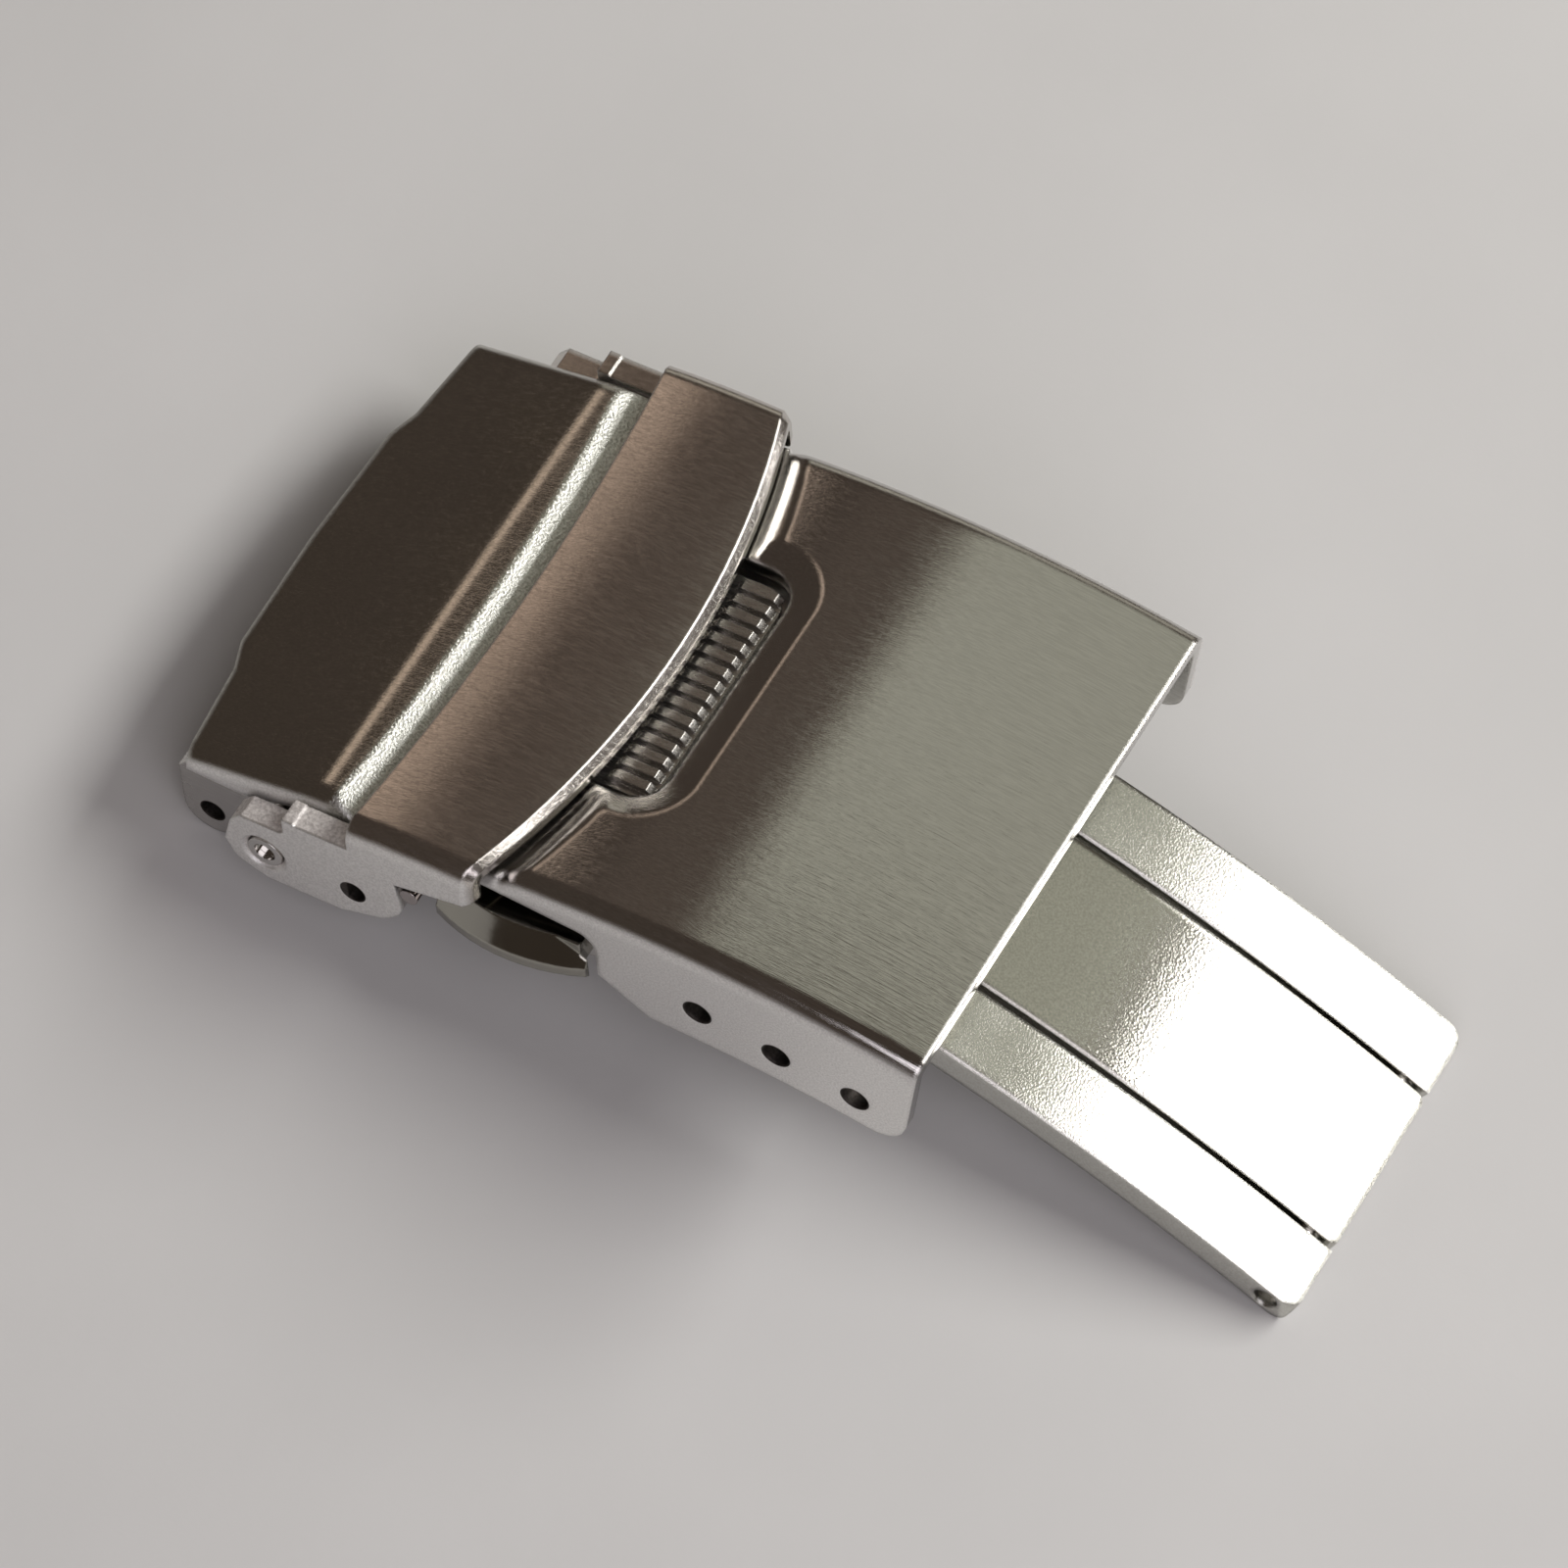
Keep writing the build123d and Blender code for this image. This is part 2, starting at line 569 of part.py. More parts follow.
def lock_strap():
    outer = across(ear_and_wall(), LOCK_WIDTH)
    top = outer.faces().sort_by(lambda f: f.center().Z)[-1]
    bends = top.edges().filter_by(lambda e: abs(abs(e.center().Y) - LOCK_WIDTH / 2) < LOCK_SHEET / 10)
    outer = fillet(bends, LOCK_EDGE_RADIUS)
    half = LOCK_WIDTH / 2 - LOCK_SHEET
    x0 = LOCK_PIVOT_X - EAR_TIP_RADIUS * 2
    x1 = LIP_X + CUT_OVERRUN
    low = EAR_BOTTOM_Z - CUT_OVERRUN
    under = lambda x: on_arc(x, LOCK_CREST_X, LOCK_CREST_Z - LOCK_SHEET, LOCK_TOP_RADIUS - LOCK_SHEET)
    hollow = across(side([
        lock_arc(x0, x1, LOCK_SHEET),
        Polyline((x1, under(x1)), (x1, low), (x0, low), (x0, under(x0))),
    ]), 2 * half)
    upper = hollow.faces().sort_by(lambda f: f.center().Z)[-1]
    soft = upper.edges().filter_by(lambda e: abs(abs(e.center().Y) - half) < LOCK_SHEET / 10)
    body = outer - fillet(soft, LOCK_EDGE_RADIUS - LOCK_SHEET)
    height = LOCK_CREST_Z - EAR_BOTTOM_Z
    lip_plan = Pos(LIP_X, 0) * Rectangle(LIP_RADIUS, LOCK_WIDTH * 2)
    lip_plan -= Pos(LIP_X - LIP_RADIUS, 0) * Circle(LIP_RADIUS)
    body -= Pos(0, 0, -height * 2) * extrude(lip_plan, amount=height * 4)
    body = chamfer(lip_top_edge(body), LIP_BEVEL)
    left_plan = Pos(LOCK_LEFT_X - LOCK_LEFT_RADIUS, 0) * Circle(LOCK_LEFT_RADIUS) & (
        Pos(LOCK_PIVOT_X, 0) * Rectangle(LOCK_WIDTH, 2 * half)
    )
    body -= Pos(0, 0, SHELF_Z - LOCK_SHEET) * extrude(left_plan, amount=height)
    pad = across(ear_and_wall(), LOCK_WIDTH) - across(ear_and_wall(), LOCK_WIDTH - 2 * EAR_THICKNESS)
    body += pad & box_between(x0, SHELF_RIGHT_X, -LOCK_WIDTH, LOCK_WIDTH, low, TOOTH_TOP_Z)
    wall_end = body.edges().filter_by(
        lambda e: abs(e.center().Z - LOCK_WALL_RIGHT_Z) < LOCK_SHEET / 10
        and e.center().X > LOCK_WALL_RIGHT_X and abs(e.tangent_at(0).Y) > ALIGNED_SHARE
    )
    if len(wall_end) == 2:
        body = fillet(wall_end, LOCK_WALL_END_RADIUS)
    hole = PIVOT_TUBE_RADIUS + RUNNING_CLEARANCE
    body -= rod(*LOCK_PIVOT, hole, -LOCK_WIDTH, LOCK_WIDTH)
    cone = Cone(hole, hole + EAR_COUNTERSINK, EAR_COUNTERSINK, rotation=(90, 0, 0))
    sink = Pos(LOCK_PIVOT_X, -LOCK_WIDTH / 2 + EAR_COUNTERSINK / 2, LOCK_PIVOT_Z) * cone
    for tool in mirror_pair(sink):
        body -= tool
    body -= ear_hole_tool()
    notch = SNAP_PIN_RADIUS + SNAP_HOOK_CLEARANCE
    body -= rod(SNAP_PIN_X, SNAP_PIN_Z, notch, -LOCK_WIDTH, LOCK_WIDTH)
    return one(body)


def grip_rib(y):
    """One rib of the thumb grip, with bevelled ends, drawn from the side."""
    right = RIB_LEFT_X + RIB_LENGTH
    base = GRIP_TOP_Z - RIB_HEIGHT
    face = side([Polyline(
        (RIB_LEFT_X, base),
        (RIB_LEFT_X + RIB_BEVEL, GRIP_TOP_Z),
        (right - RIB_BEVEL, GRIP_TOP_Z),
        (right, base),
        close=True,
    )])
    return Pos(0, y, 0) * across(face, RIB_WIDTH)


def strap_hollow(left, right):
    """Space right under the strap, between two places along X."""
    radius = LOCK_TOP_RADIUS - LOCK_SHEET
    under = lambda x: on_arc(x, LOCK_CREST_X, LOCK_CREST_Z - LOCK_SHEET, radius)
    return across(side([
        lock_arc(left, right, LOCK_SHEET),
        Polyline((right, under(right)), (right, GRIP_BOTTOM_Z), (left, GRIP_BOTTOM_Z), (left, under(left))),
    ]), 2 * GRIP_HALF_WIDTH)


def thumb_grip():
    plate = box_between(
        GRIP_LEFT_X, GRIP_RIGHT_X, -GRIP_HALF_WIDTH, GRIP_HALF_WIDTH, GRIP_BOTTOM_Z, GRIP_TOP_Z - RIB_HEIGHT
    )
    corners = plate.edges().filter_by(Axis.Z).filter_by(lambda e: e.center().X > GRIP_STEP_X)
    body = fillet(corners, GRIP_CORNER_RADIUS) + strap_hollow(GRIP_LEFT_X, GRIP_STEP_X)
    first = -RIB_PITCH * (RIB_COUNT - 1) / 2
    for n in range(RIB_COUNT):
        body += grip_rib(first + n * RIB_PITCH)
    return one(body)


def snap_pins():
    outer = LOCK_WIDTH / 2 - RUNNING_CLEARANCE
    inner = COVER_WIDTH / 2 - COVER_SHEET - SNAP_PIN_DEPTH
    return Compound(mirror_pair(rod(SNAP_PIN_X, SNAP_PIN_Z, SNAP_PIN_RADIUS, -outer, -inner)))


# End cover and end frame

def end_body(drop, left, right, foot, width):
    """Solid below the end cover's top line, a rise with a soft crease, closed along foot points."""
    rise = (END_CREASE_Z - END_TOP_Z) / END_CREASE_X
    top = [
        (left, END_TOP_Z + rise * left - drop),
        (END_CREASE_X, END_CREASE_Z - drop),
        (right, END_CREASE_Z + END_SHOULDER_RISE - drop),
    ]
    face = side([Polyline(*top, *foot, close=True)])
    face = side_fillet(face, top[1], END_RIDGE_RADIUS)
    return across(face, width)


def end_roll(drop):
    """Cone that turns the end cover's right edge down, along the arc of the strap's left edge."""
    level = END_CREASE_Z - END_ROLL_DROP - drop
    bottom = LUG_HOLE_Z - CUT_OVERRUN
    top = LOCK_CREST_Z
    edge = LOCK_LEFT_RADIUS - END_RIGHT_GAP
    slope = END_ROLL_WIDTH / END_ROLL_DROP
    cone = Cone(edge + (level - bottom) * slope, edge - (top - level) * slope, top - bottom)
    return Pos(LOCK_LEFT_X - LOCK_LEFT_RADIUS, 0, (bottom + top) / 2) * cone


def end_hollow():
    """Space inside the end cover: under its sheet and between its side walls."""
    low = LUG_HOLE_Z - CUT_OVERRUN
    left = END_TONGUE_X - CUT_OVERRUN
    right = FRAME_RIGHT_X + CUT_OVERRUN
    slope = math.atan2(END_ROLL_DROP, END_ROLL_WIDTH)
    hollow = end_body(END_SHEET, left, right, [(right, low), (left, low)], END_WIDTH - 2 * END_SHEET)
    return hollow & end_roll(END_SHEET / math.cos(slope))


def end_cover(hollow):
    left = END_TONGUE_X - END_SHEET
    right = LOCK_LEFT_X
    foot = [
        (right, END_WALL_RIGHT_Z),
        (END_CREASE_X, END_WALL_RIGHT_Z),
        (END_WALL_DEEP_X, END_WALL_DEEP_Z),
        (END_SHOULDER_X, END_WALL_LEFT_Z),
        (left, END_WALL_LEFT_Z - END_EDGE_RADIUS),
    ]
    body = end_body(0, left, right, foot, END_WIDTH)
    bends = body.edges().filter_by(
        lambda e: abs(abs(e.center().Y) - END_WIDTH / 2) < END_SHEET / 10
        and e.center().Z > END_WALL_RIGHT_Z and abs(e.tangent_at(0).X) > ALIGNED_SHARE
    )
    body = fillet(bends, END_EDGE_RADIUS) & end_roll(0)
    half = END_WIDTH
    plan = Polyline(
        (END_SHOULDER_X, -half),
        (END_SHOULDER_X, -END_WIDTH / 2),
        (END_STEP_X, -END_STEP_OUTER_Y),
        (END_STEP_X - END_STEP_DEPTH, -END_STEP_INNER_Y),
        (END_TONGUE_X, 0),
        (END_STEP_X - END_STEP_DEPTH, END_STEP_INNER_Y),
        (END_STEP_X, END_STEP_OUTER_Y),
        (END_SHOULDER_X, END_WIDTH / 2),
        (END_SHOULDER_X, half),
        (left - CUT_OVERRUN, half),
        (left - CUT_OVERRUN, -half),
        close=True,
    )
    body -= Pos(0, 0, -half) * extrude(make_face(plan), amount=2 * half)
    reach = LOCK_LEFT_RADIUS - END_RIGHT_GAP
    keep = Pos(LOCK_LEFT_X - LOCK_LEFT_RADIUS, 0) * Circle(reach)
    keep &= Pos(LOCK_LEFT_X, 0) * Rectangle(END_WIDTH, END_WIDTH * 2)
    body &= Pos(0, 0, -half) * extrude(keep, amount=2 * half)
    return one(body - hollow)


def blade_round(face, x1):
    """Round the lower corner of a blade's free end."""
    return side_fillet(face, blade_point(x1, BLADE_THICKNESS), BLADE_END_ROUND)


def frame_cheek():
    """Side view of one cheek: a round lug at the bracelet pin, then a plate that runs to the right."""
    lug_left = LUG_HOLE_X - LUG_RADIUS
    foot = blade_point(FRAME_RIGHT_X, BLADE_THICKNESS)
    plate = side([Polyline(
        (lug_left, LUG_HOLE_Z),
        (lug_left, LUG_RISE_Z - LUG_RADIUS),
        (LUG_HOLE_X, LUG_RISE_Z),
        (LUG_HOLE_X, END_CREASE_Z),
        (FRAME_RIGHT_X, END_CREASE_Z),
        (FRAME_RIGHT_X, foot[1] - RUNNING_CLEARANCE),
        (LUG_HOLE_X, LUG_HOLE_Z - LUG_RADIUS),
        close=True,
    )])
    lug = Plane.XZ * (Pos(LUG_HOLE_X, LUG_HOLE_Z) * Circle(LUG_RADIUS))
    return plate, lug


def end_frame(hollow):
    half = FRAME_WIDTH / 2
    inner = half - CHEEK_THICKNESS
    body = Part()
    for face in frame_cheek():
        body += across(face, FRAME_WIDTH) - across(face, 2 * inner)
    middle = (WEB_LEFT_X + FRAME_RIGHT_X) / 2
    seat = [blade_point(x, 0) for x in (FRAME_RIGHT_X, middle, WEB_LEFT_X)]
    web = side([
        Polyline(seat[2], (WEB_LEFT_X, END_CREASE_Z), (FRAME_RIGHT_X, END_CREASE_Z), seat[0]),
        ThreePointArc(*seat),
    ])
    body += across(web, FRAME_WIDTH)
    body &= hollow
    body -= rod(LUG_HOLE_X, LUG_HOLE_Z, LUG_HOLE_RADIUS, -FRAME_WIDTH, FRAME_WIDTH)
    body -= rod(*LOCK_PIVOT, PIVOT_TUBE_RADIUS, -FRAME_WIDTH, FRAME_WIDTH)
    for rivet in frame_rivet_bars():
        body -= rivet
    return one(body)


def frame_rivet_bars():
    foot = blade_point(FRAME_RIVET_X, BLADE_THICKNESS)[1]
    top = END_CREASE_Z - END_SHEET - FRAME_RIVET_RADIUS
    height = top - foot
    return [
        Pos(FRAME_RIVET_X, y, foot + height / 2) * Cylinder(FRAME_RIVET_RADIUS, height)
        for y in (-FRAME_RIVET_Y, FRAME_RIVET_Y)
    ]


def frame_rivets():
    """Two rivets through blade and web, with low round heads under the blade."""
    foot = blade_point(FRAME_RIVET_X, BLADE_THICKNESS)[1]
    radius = FRAME_RIVET_HEAD_RADIUS
    low = blade_point(FRAME_RIVET_X - radius, BLADE_THICKNESS)[1]
    depth = foot - low + FRAME_RIVET_HEAD
    rivets = []
    for bar in frame_rivet_bars():
        head = Pos(FRAME_RIVET_X, bar.center().Y, foot - depth / 2) * Cylinder(radius, depth)
        plate = across(blade_face(FRAME_RIVET_X - 2 * radius, FRAME_RIVET_X + 2 * radius), FRAME_WIDTH)
        rivets.append(one(bar + (head - plate)))
    return Compound(rivets)


# Blades

def rounded_end(width, radius):
    """Plan region that rounds the two corners at the blades' free end."""
    plan = Pos(BLADE_END_X / 2, 0) * Rectangle(BLADE_END_X, width)
    ends = plan.vertices().sort_by(Axis.X)[-2:]
    return Pos(0, 0, -BLADE_END_X) * extrude(fillet(ends, radius), amount=2 * BLADE_END_X)


def inner_blade():
    tongue = across(blade_round(blade_face(PLATE_LEFT_X, BLADE_END_X), BLADE_END_X), TONGUE_WIDTH)
    tongue &= rounded_end(TONGUE_WIDTH, TONGUE_CORNER_RADIUS)
    wide = FRAME_WIDTH - 2 * CHEEK_THICKNESS
    body = tongue + across(blade_face(PLATE_LEFT_X, PLATE_SHOULDER_X), wide)
    body -= rod(*FOLD_PIVOT, FOLD_PIN_RADIUS, -FORK_WIDTH, FORK_WIDTH)
    body -= Pos(POST_X, 0, CHAMBER_BOTTOM_Z) * Cylinder(POST_TENON_RADIUS, COVER_WALL_HEIGHT * 2)
    for bar in frame_rivet_bars():
        body -= bar
    return one(body)


def outer_blade():
    """The fork: two arms beside the tongue, joined by a bridge over it at the cover's pivot."""
    gap = TONGUE_WIDTH + 2 * BLADE_GAP
    face = blade_round(blade_face(FORK_PIVOT_X, BLADE_END_X), BLADE_END_X)
    knuckle = Plane.XZ * (Pos(*FORK_PIVOT) * Circle(ARM_KNUCKLE_RADIUS))
    body = across(face, FORK_WIDTH) & rounded_end(FORK_WIDTH, ARM_CORNER_RADIUS)
    body += across(knuckle, FORK_WIDTH)
    left = FORK_PIVOT[0] - FORK_BRIDGE_LENGTH / 2
    right = FORK_PIVOT[0] + FORK_BRIDGE_LENGTH / 2
    low = blade_top(left) + FORK_BRIDGE_CLEARANCE
    high = low + FORK_BRIDGE_THICKNESS
    half = FORK_WIDTH / 2
    body += box_between(left, right, -half, half, FORK_PIVOT[1], high)
    slot_left = FORK_PIVOT[0] - CUT_OVERRUN
    slot_right = BLADE_END_X + CUT_OVERRUN
    deep = FOLD_PIVOT[1] - CUT_OVERRUN
    body -= box_between(slot_left, slot_right, -gap / 2, gap / 2, deep, low)
    body -= rod(*FORK_PIVOT, FORK_PIN_RADIUS + RUNNING_CLEARANCE, -FORK_WIDTH, FORK_WIDTH)
    body -= rod(*FOLD_PIVOT, FOLD_PIN_RADIUS + RUNNING_CLEARANCE, -FORK_WIDTH, FORK_WIDTH)
    return one(body)


def fold_pin():
    half = FORK_WIDTH / 2 - FOLD_PIN_RECESS
    return rod(*FOLD_PIVOT, FOLD_PIN_RADIUS, -half, half)


def fork_pins():
    outer = FORK_WIDTH / 2 + PIVOT_CHEEK_GAP + PIVOT_CHEEK_THICKNESS
    inner = TONGUE_WIDTH / 2 + BLADE_GAP
    return Compound(mirror_pair(rod(*FORK_PIVOT, FORK_PIN_RADIUS, -outer, -inner)))


def pivot_tube():
    half = LOCK_WIDTH / 2 - RUNNING_CLEARANCE
    return rod(*LOCK_PIVOT, PIVOT_TUBE_RADIUS, -half, half) - rod(*LOCK_PIVOT, PIVOT_TUBE_BORE, -half, half)


def pivot_pin():
    half = LOCK_WIDTH / 2 - PIVOT_PIN_RECESS
    return rod(*LOCK_PIVOT, PIVOT_TUBE_BORE, -half, half)


# Latch

def about_post(shape):
    """The same piece turned half round about the catch post."""
    return Pos(POST_X, 0, 0) * Rot(0, 0, 180) * Pos(-POST_X, 0, 0) * shape


def catch_post():
    crest = BLADE_CREST_Z
    head = HOOK_TOP_Z + POST_HEAD_CLEARANCE
    foot = blade_point(POST_X, BLADE_THICKNESS)[1]
    body = Pos(POST_X, 0, (crest + head) / 2) * Cylinder(POST_NECK_RADIUS, head - crest)
    body += Pos(POST_X, 0, head + POST_HEAD_THICKNESS / 2) * Cylinder(POST_HEAD_RADIUS, POST_HEAD_THICKNESS)
    body += Pos(POST_X, 0, (crest + foot) / 2) * Cylinder(POST_TENON_RADIUS, crest - foot)
    return one(body)


def button_cap():
    """Crescent end of a button outside the cover's wall, near side."""
    left = CHAMBER_LEFT_X - BUTTON_OVERHANG
    right = CHAMBER_RIGHT_X + BUTTON_OVERHANG
    inner = COVER_WIDTH / 2 - COVER_SHEET + BUTTON_TRAVEL
    edge = COVER_WIDTH / 2 + BUTTON_END_STAND_OUT
    bow = COVER_WIDTH / 2 + BUTTON_STAND_OUT
    plan = make_face(Wire([
        *Polyline((left, -edge), (left, -inner), (right, -inner), (right, -edge)).edges(),
        ThreePointArc((right, -edge), ((left + right) / 2, -bow), (left, -edge)),
    ]))
    cap = Pos(0, 0, BUTTON_BOTTOM_Z) * extrude(plan, amount=BUTTON_TOP_Z - BUTTON_BOTTOM_Z)
    bow_face = cap.faces().sort_by(lambda f: f.center().Y)[0]
    low = bow_face.edges().sort_by(lambda e: e.center().Z)[0]
    cap = chamfer(low, BUTTON_RIM_BEVEL)
    bow_face = cap.faces().sort_by(lambda f: f.center().Y)[0]
    high = bow_face.edges().sort_by(lambda e: e.center().Z)[-1]
    top = cap.faces().sort_by(lambda f: f.center().Z)[-1]
    cap = chamfer(high, BUTTON_SLANT_WIDTH, BUTTON_SLANT_HEIGHT, reference=top)
    sharp = cap.edges().filter_by(
        lambda e: abs(e.center().Z - (BUTTON_TOP_Z - BUTTON_SLANT_HEIGHT)) < BUTTON_EDGE_RADIUS / 5
    )
    return fillet(sharp, BUTTON_EDGE_RADIUS)


def push_button():
    """The near button: crescent, sliding body, and a hook that reaches round behind the post."""
    outer = COVER_WIDTH / 2 - COVER_SHEET + BUTTON_TRAVEL
    inner = COVER_WIDTH / 2 - COVER_SHEET - BUTTON_BODY_LENGTH
    left = CHAMBER_LEFT_X + SLIDING_CLEARANCE
    right = CHAMBER_RIGHT_X - SLIDING_CLEARANCE
    low = CHAMBER_BOTTOM_Z + SLIDING_CLEARANCE
    high = CHAMBER_TOP_Z - SLIDING_CLEARANCE
    tooth_start = POST_NECK_RADIUS + HOOK_NECK_CLEARANCE
    tooth_end = tooth_start + HOOK_TOOTH_WIDTH
    arm_right = left + HOOK_ARM_WIDTH
    floor = HOOK_TOP_Z - HOOK_THICKNESS
    body = button_cap() + box_between(left, right, -outer, -inner, low, high)
    pocket_end = inner + SPRING_POCKET_DEPTH
    body -= rod(SPRING_X, SPRING_Z, SPRING_POCKET_RADIUS, -pocket_end, -inner)
    body += box_between(left, arm_right, -inner, tooth_end, floor, HOOK_TOP_Z)
    body += box_between(left, arm_right + HOOK_TOOTH_LENGTH, tooth_start, tooth_end, floor, HOOK_TOP_Z)
    return one(body)


def button_spring():
    """Coil spring of the near button, from the housing's seat to the bottom of the button's pocket."""
    start = SPRING_SEAT_Y + SPRING_END_GAP + SPRING_WIRE_RADIUS
    inner = COVER_WIDTH / 2 - COVER_SHEET - BUTTON_BODY_LENGTH
    end = inner + SPRING_POCKET_DEPTH - SPRING_END_GAP - SPRING_WIRE_RADIUS
    height = end - start
    path = Helix(height / SPRING_TURNS, height, SPRING_MEAN_RADIUS)
    wire = Plane(origin=path @ 0, z_dir=path % 0) * Circle(SPRING_WIRE_RADIUS)
    coil = sweep(wire, path=path)
    return Pos(SPRING_X, -start, SPRING_Z) * Rot(90, 0, 0) * coil


def latch_housing(cover_space):
    half = COVER_WIDTH / 2 - COVER_SHEET - HOUSING_SIDE_GAP
    body = box_between(HOUSING_LEFT_X, HOUSING_RIGHT_X, -half, half, CHAMBER_BOTTOM_Z, HOUSING_TOP_Z)
    body -= box_between(
        CHAMBER_LEFT_X, CHAMBER_RIGHT_X, -COVER_WIDTH, COVER_WIDTH, CHAMBER_BOTTOM_Z, CHAMBER_TOP_Z
    )
    seat = box_between(
        SPRING_SEAT_LEFT_X, CHAMBER_RIGHT_X, -SPRING_SEAT_Y, -SPRING_SEAT_Y + SPRING_SEAT_THICKNESS,
        CHAMBER_BOTTOM_Z, CHAMBER_TOP_Z,
    )
    body += seat
    body += about_post(seat)
    window = POST_HEAD_RADIUS + POST_WINDOW_CLEARANCE
    body -= Pos(POST_X, 0, HOUSING_TOP_Z) * Cylinder(window, HOUSING_TOP_Z - CHAMBER_BOTTOM_Z)
    pad = box_between(PAD_LEFT_X, HOUSING_RIGHT_X, -PAD_OUTER_Y, -PAD_INNER_Y, HOUSING_TOP_Z, COVER_CREST_Z)
    inner = FORK_WIDTH / 2 + PIVOT_CHEEK_GAP
    x, z = FORK_PIVOT
    radius = PIVOT_CHEEK_RADIUS
    cheek = side([Polyline(
        (CHAMBER_RIGHT_X, HOUSING_TOP_Z),
        (x + radius, HOUSING_TOP_Z),
        (x + radius, z),
        (HOUSING_RIGHT_X, z),
        (HOUSING_RIGHT_X, CHAMBER_BOTTOM_Z),
        (CHAMBER_RIGHT_X, CHAMBER_BOTTOM_Z),
        close=True,
    )])
    disc = Plane.XZ * (Pos(x, z) * Circle(radius))
    for face in (cheek, disc):
        body += across(face, 2 * (inner + PIVOT_CHEEK_THICKNESS)) - across(face, 2 * inner)
    for tool in mirror_pair(pad & cover_space):
        body += tool
    body -= rod(x, z, FORK_PIN_RADIUS, -COVER_WIDTH, COVER_WIDTH)
    pin_end = half + HOUSING_SIDE_GAP - SNAP_PIN_DEPTH
    for pin in mirror_pair(rod(SNAP_PIN_X, SNAP_PIN_Z, SNAP_PIN_RADIUS, -half - CUT_OVERRUN, -pin_end)):
        body -= pin
    for bar in housing_rivet_bars():
        body -= bar
    return one(body)


def housing_rivet_bars():
    low = CHAMBER_BOTTOM_Z - BASE_PLATE_THICKNESS
    height = BASE_PLATE_THICKNESS + HOUSING_RIVET_GRIP
    right = (CHAMBER_RIGHT_X + HOUSING_RIGHT_X) / 2
    return [
        Pos(x, y, low + height / 2) * Cylinder(HOUSING_RIVET_RADIUS, height)
        for x in (HOUSING_RIVET_LEFT_X, right)
        for y in (-HOUSING_RIVET_Y, HOUSING_RIVET_Y)
    ]


def base_plate():
    """Floor of the near half of the latch housing, beside the tongue's passage."""
    half = COVER_WIDTH / 2 - COVER_SHEET - HOUSING_SIDE_GAP
    inner = TONGUE_WIDTH / 2 + PASSAGE_CLEARANCE
    low = CHAMBER_BOTTOM_Z - BASE_PLATE_THICKNESS
    right = HOUSING_RIGHT_X
    body = box_between(HOUSING_LEFT_X, right, -half, -inner, low, CHAMBER_BOTTOM_Z)
    corners = body.edges().filter_by(Axis.Z).filter_by(lambda e: e.center().Y < -inner * 2)
    body = fillet(corners, BASE_PLATE_THICKNESS)
    for bar in housing_rivet_bars():
        body -= bar
    return one(body)


# Resting pose

def end_round_centre():
    """Centre of the round at the lower corner of the blades' free end."""
    end = blade_point(BLADE_END_X, BLADE_THICKNESS - BLADE_END_ROUND)
    before = blade_point(BLADE_END_X - BLADE_END_ROUND, BLADE_THICKNESS - BLADE_END_ROUND)
    run = math.dist(end, before)
    share = BLADE_END_ROUND / run
    return (end[0] + (before[0] - end[0]) * share, end[1] + (before[1] - end[1]) * share)


def rest_angle():
    """Angle of the line that touches the lugs' round and the blades' end from below."""
    x, z = end_round_centre()
    span = math.hypot(x - LUG_HOLE_X, z - LUG_HOLE_Z)
    slope = math.atan2(z - LUG_HOLE_Z, x - LUG_HOLE_X)
    return slope + math.asin((LUG_RADIUS - BLADE_END_ROUND) / span)


REST = rest_angle()


def rest_point(place):
    """A place of the upright frame in the resting frame, before the shift to the origin."""
    x, z = place
    return (x * math.cos(REST) + z * math.sin(REST), z * math.cos(REST) - x * math.sin(REST))


def build():
    hollow = end_hollow()
    cover_space = cover_hollow()
    button = push_button()
    spring = button_spring()
    plate = base_plate()
    return {
        "cover_shell": cover_shell(cover_space),
        "latch_housing": latch_housing(cover_space),
        "base_plate_near": plate,
        "base_plate_far": one(mirror(plate, about=Plane.XZ)),
        "housing_rivets": Compound(housing_rivet_bars()),
        "snap_pins": snap_pins(),
        "fork_pivot_pins": fork_pins(),
        "push_button_near": button,
        "push_button_far": about_post(button),
        "button_spring_near": spring,
        "button_spring_far": about_post(spring),
        "outer_blade": outer_blade(),
        "inner_blade": inner_blade(),
        "fold_hinge_pin": fold_pin(),
        "catch_post": catch_post(),
        "end_frame": end_frame(hollow),
        "end_cover": end_cover(hollow),
        "frame_rivets": frame_rivets(),
        "lock_pivot_tube": pivot_tube(),
        "lock_pivot_pin": pivot_pin(),
        "lock_strap": lock_strap(),
        "thumb_grip": thumb_grip(),
    }


def place_all(pieces):
    """Turn every piece to the resting pose and set the origin at the bottom centre of the whole."""
    turned = {name: Rot(0, math.degrees(REST), 0) * shape for name, shape in pieces.items()}
    box = Compound(list(turned.values())).bounding_box()
    shift = Pos(-(box.min.X + box.max.X) / 2, 0, -box.min.Z)
    return {name: shift * shape for name, shape in turned.items()}, shift.position


def print_joint(name, place, offset):
    x, z = rest_point(place)
    print(f"{name}: x {x + offset.X:.4f}, z {z + offset.Z:.4f}")


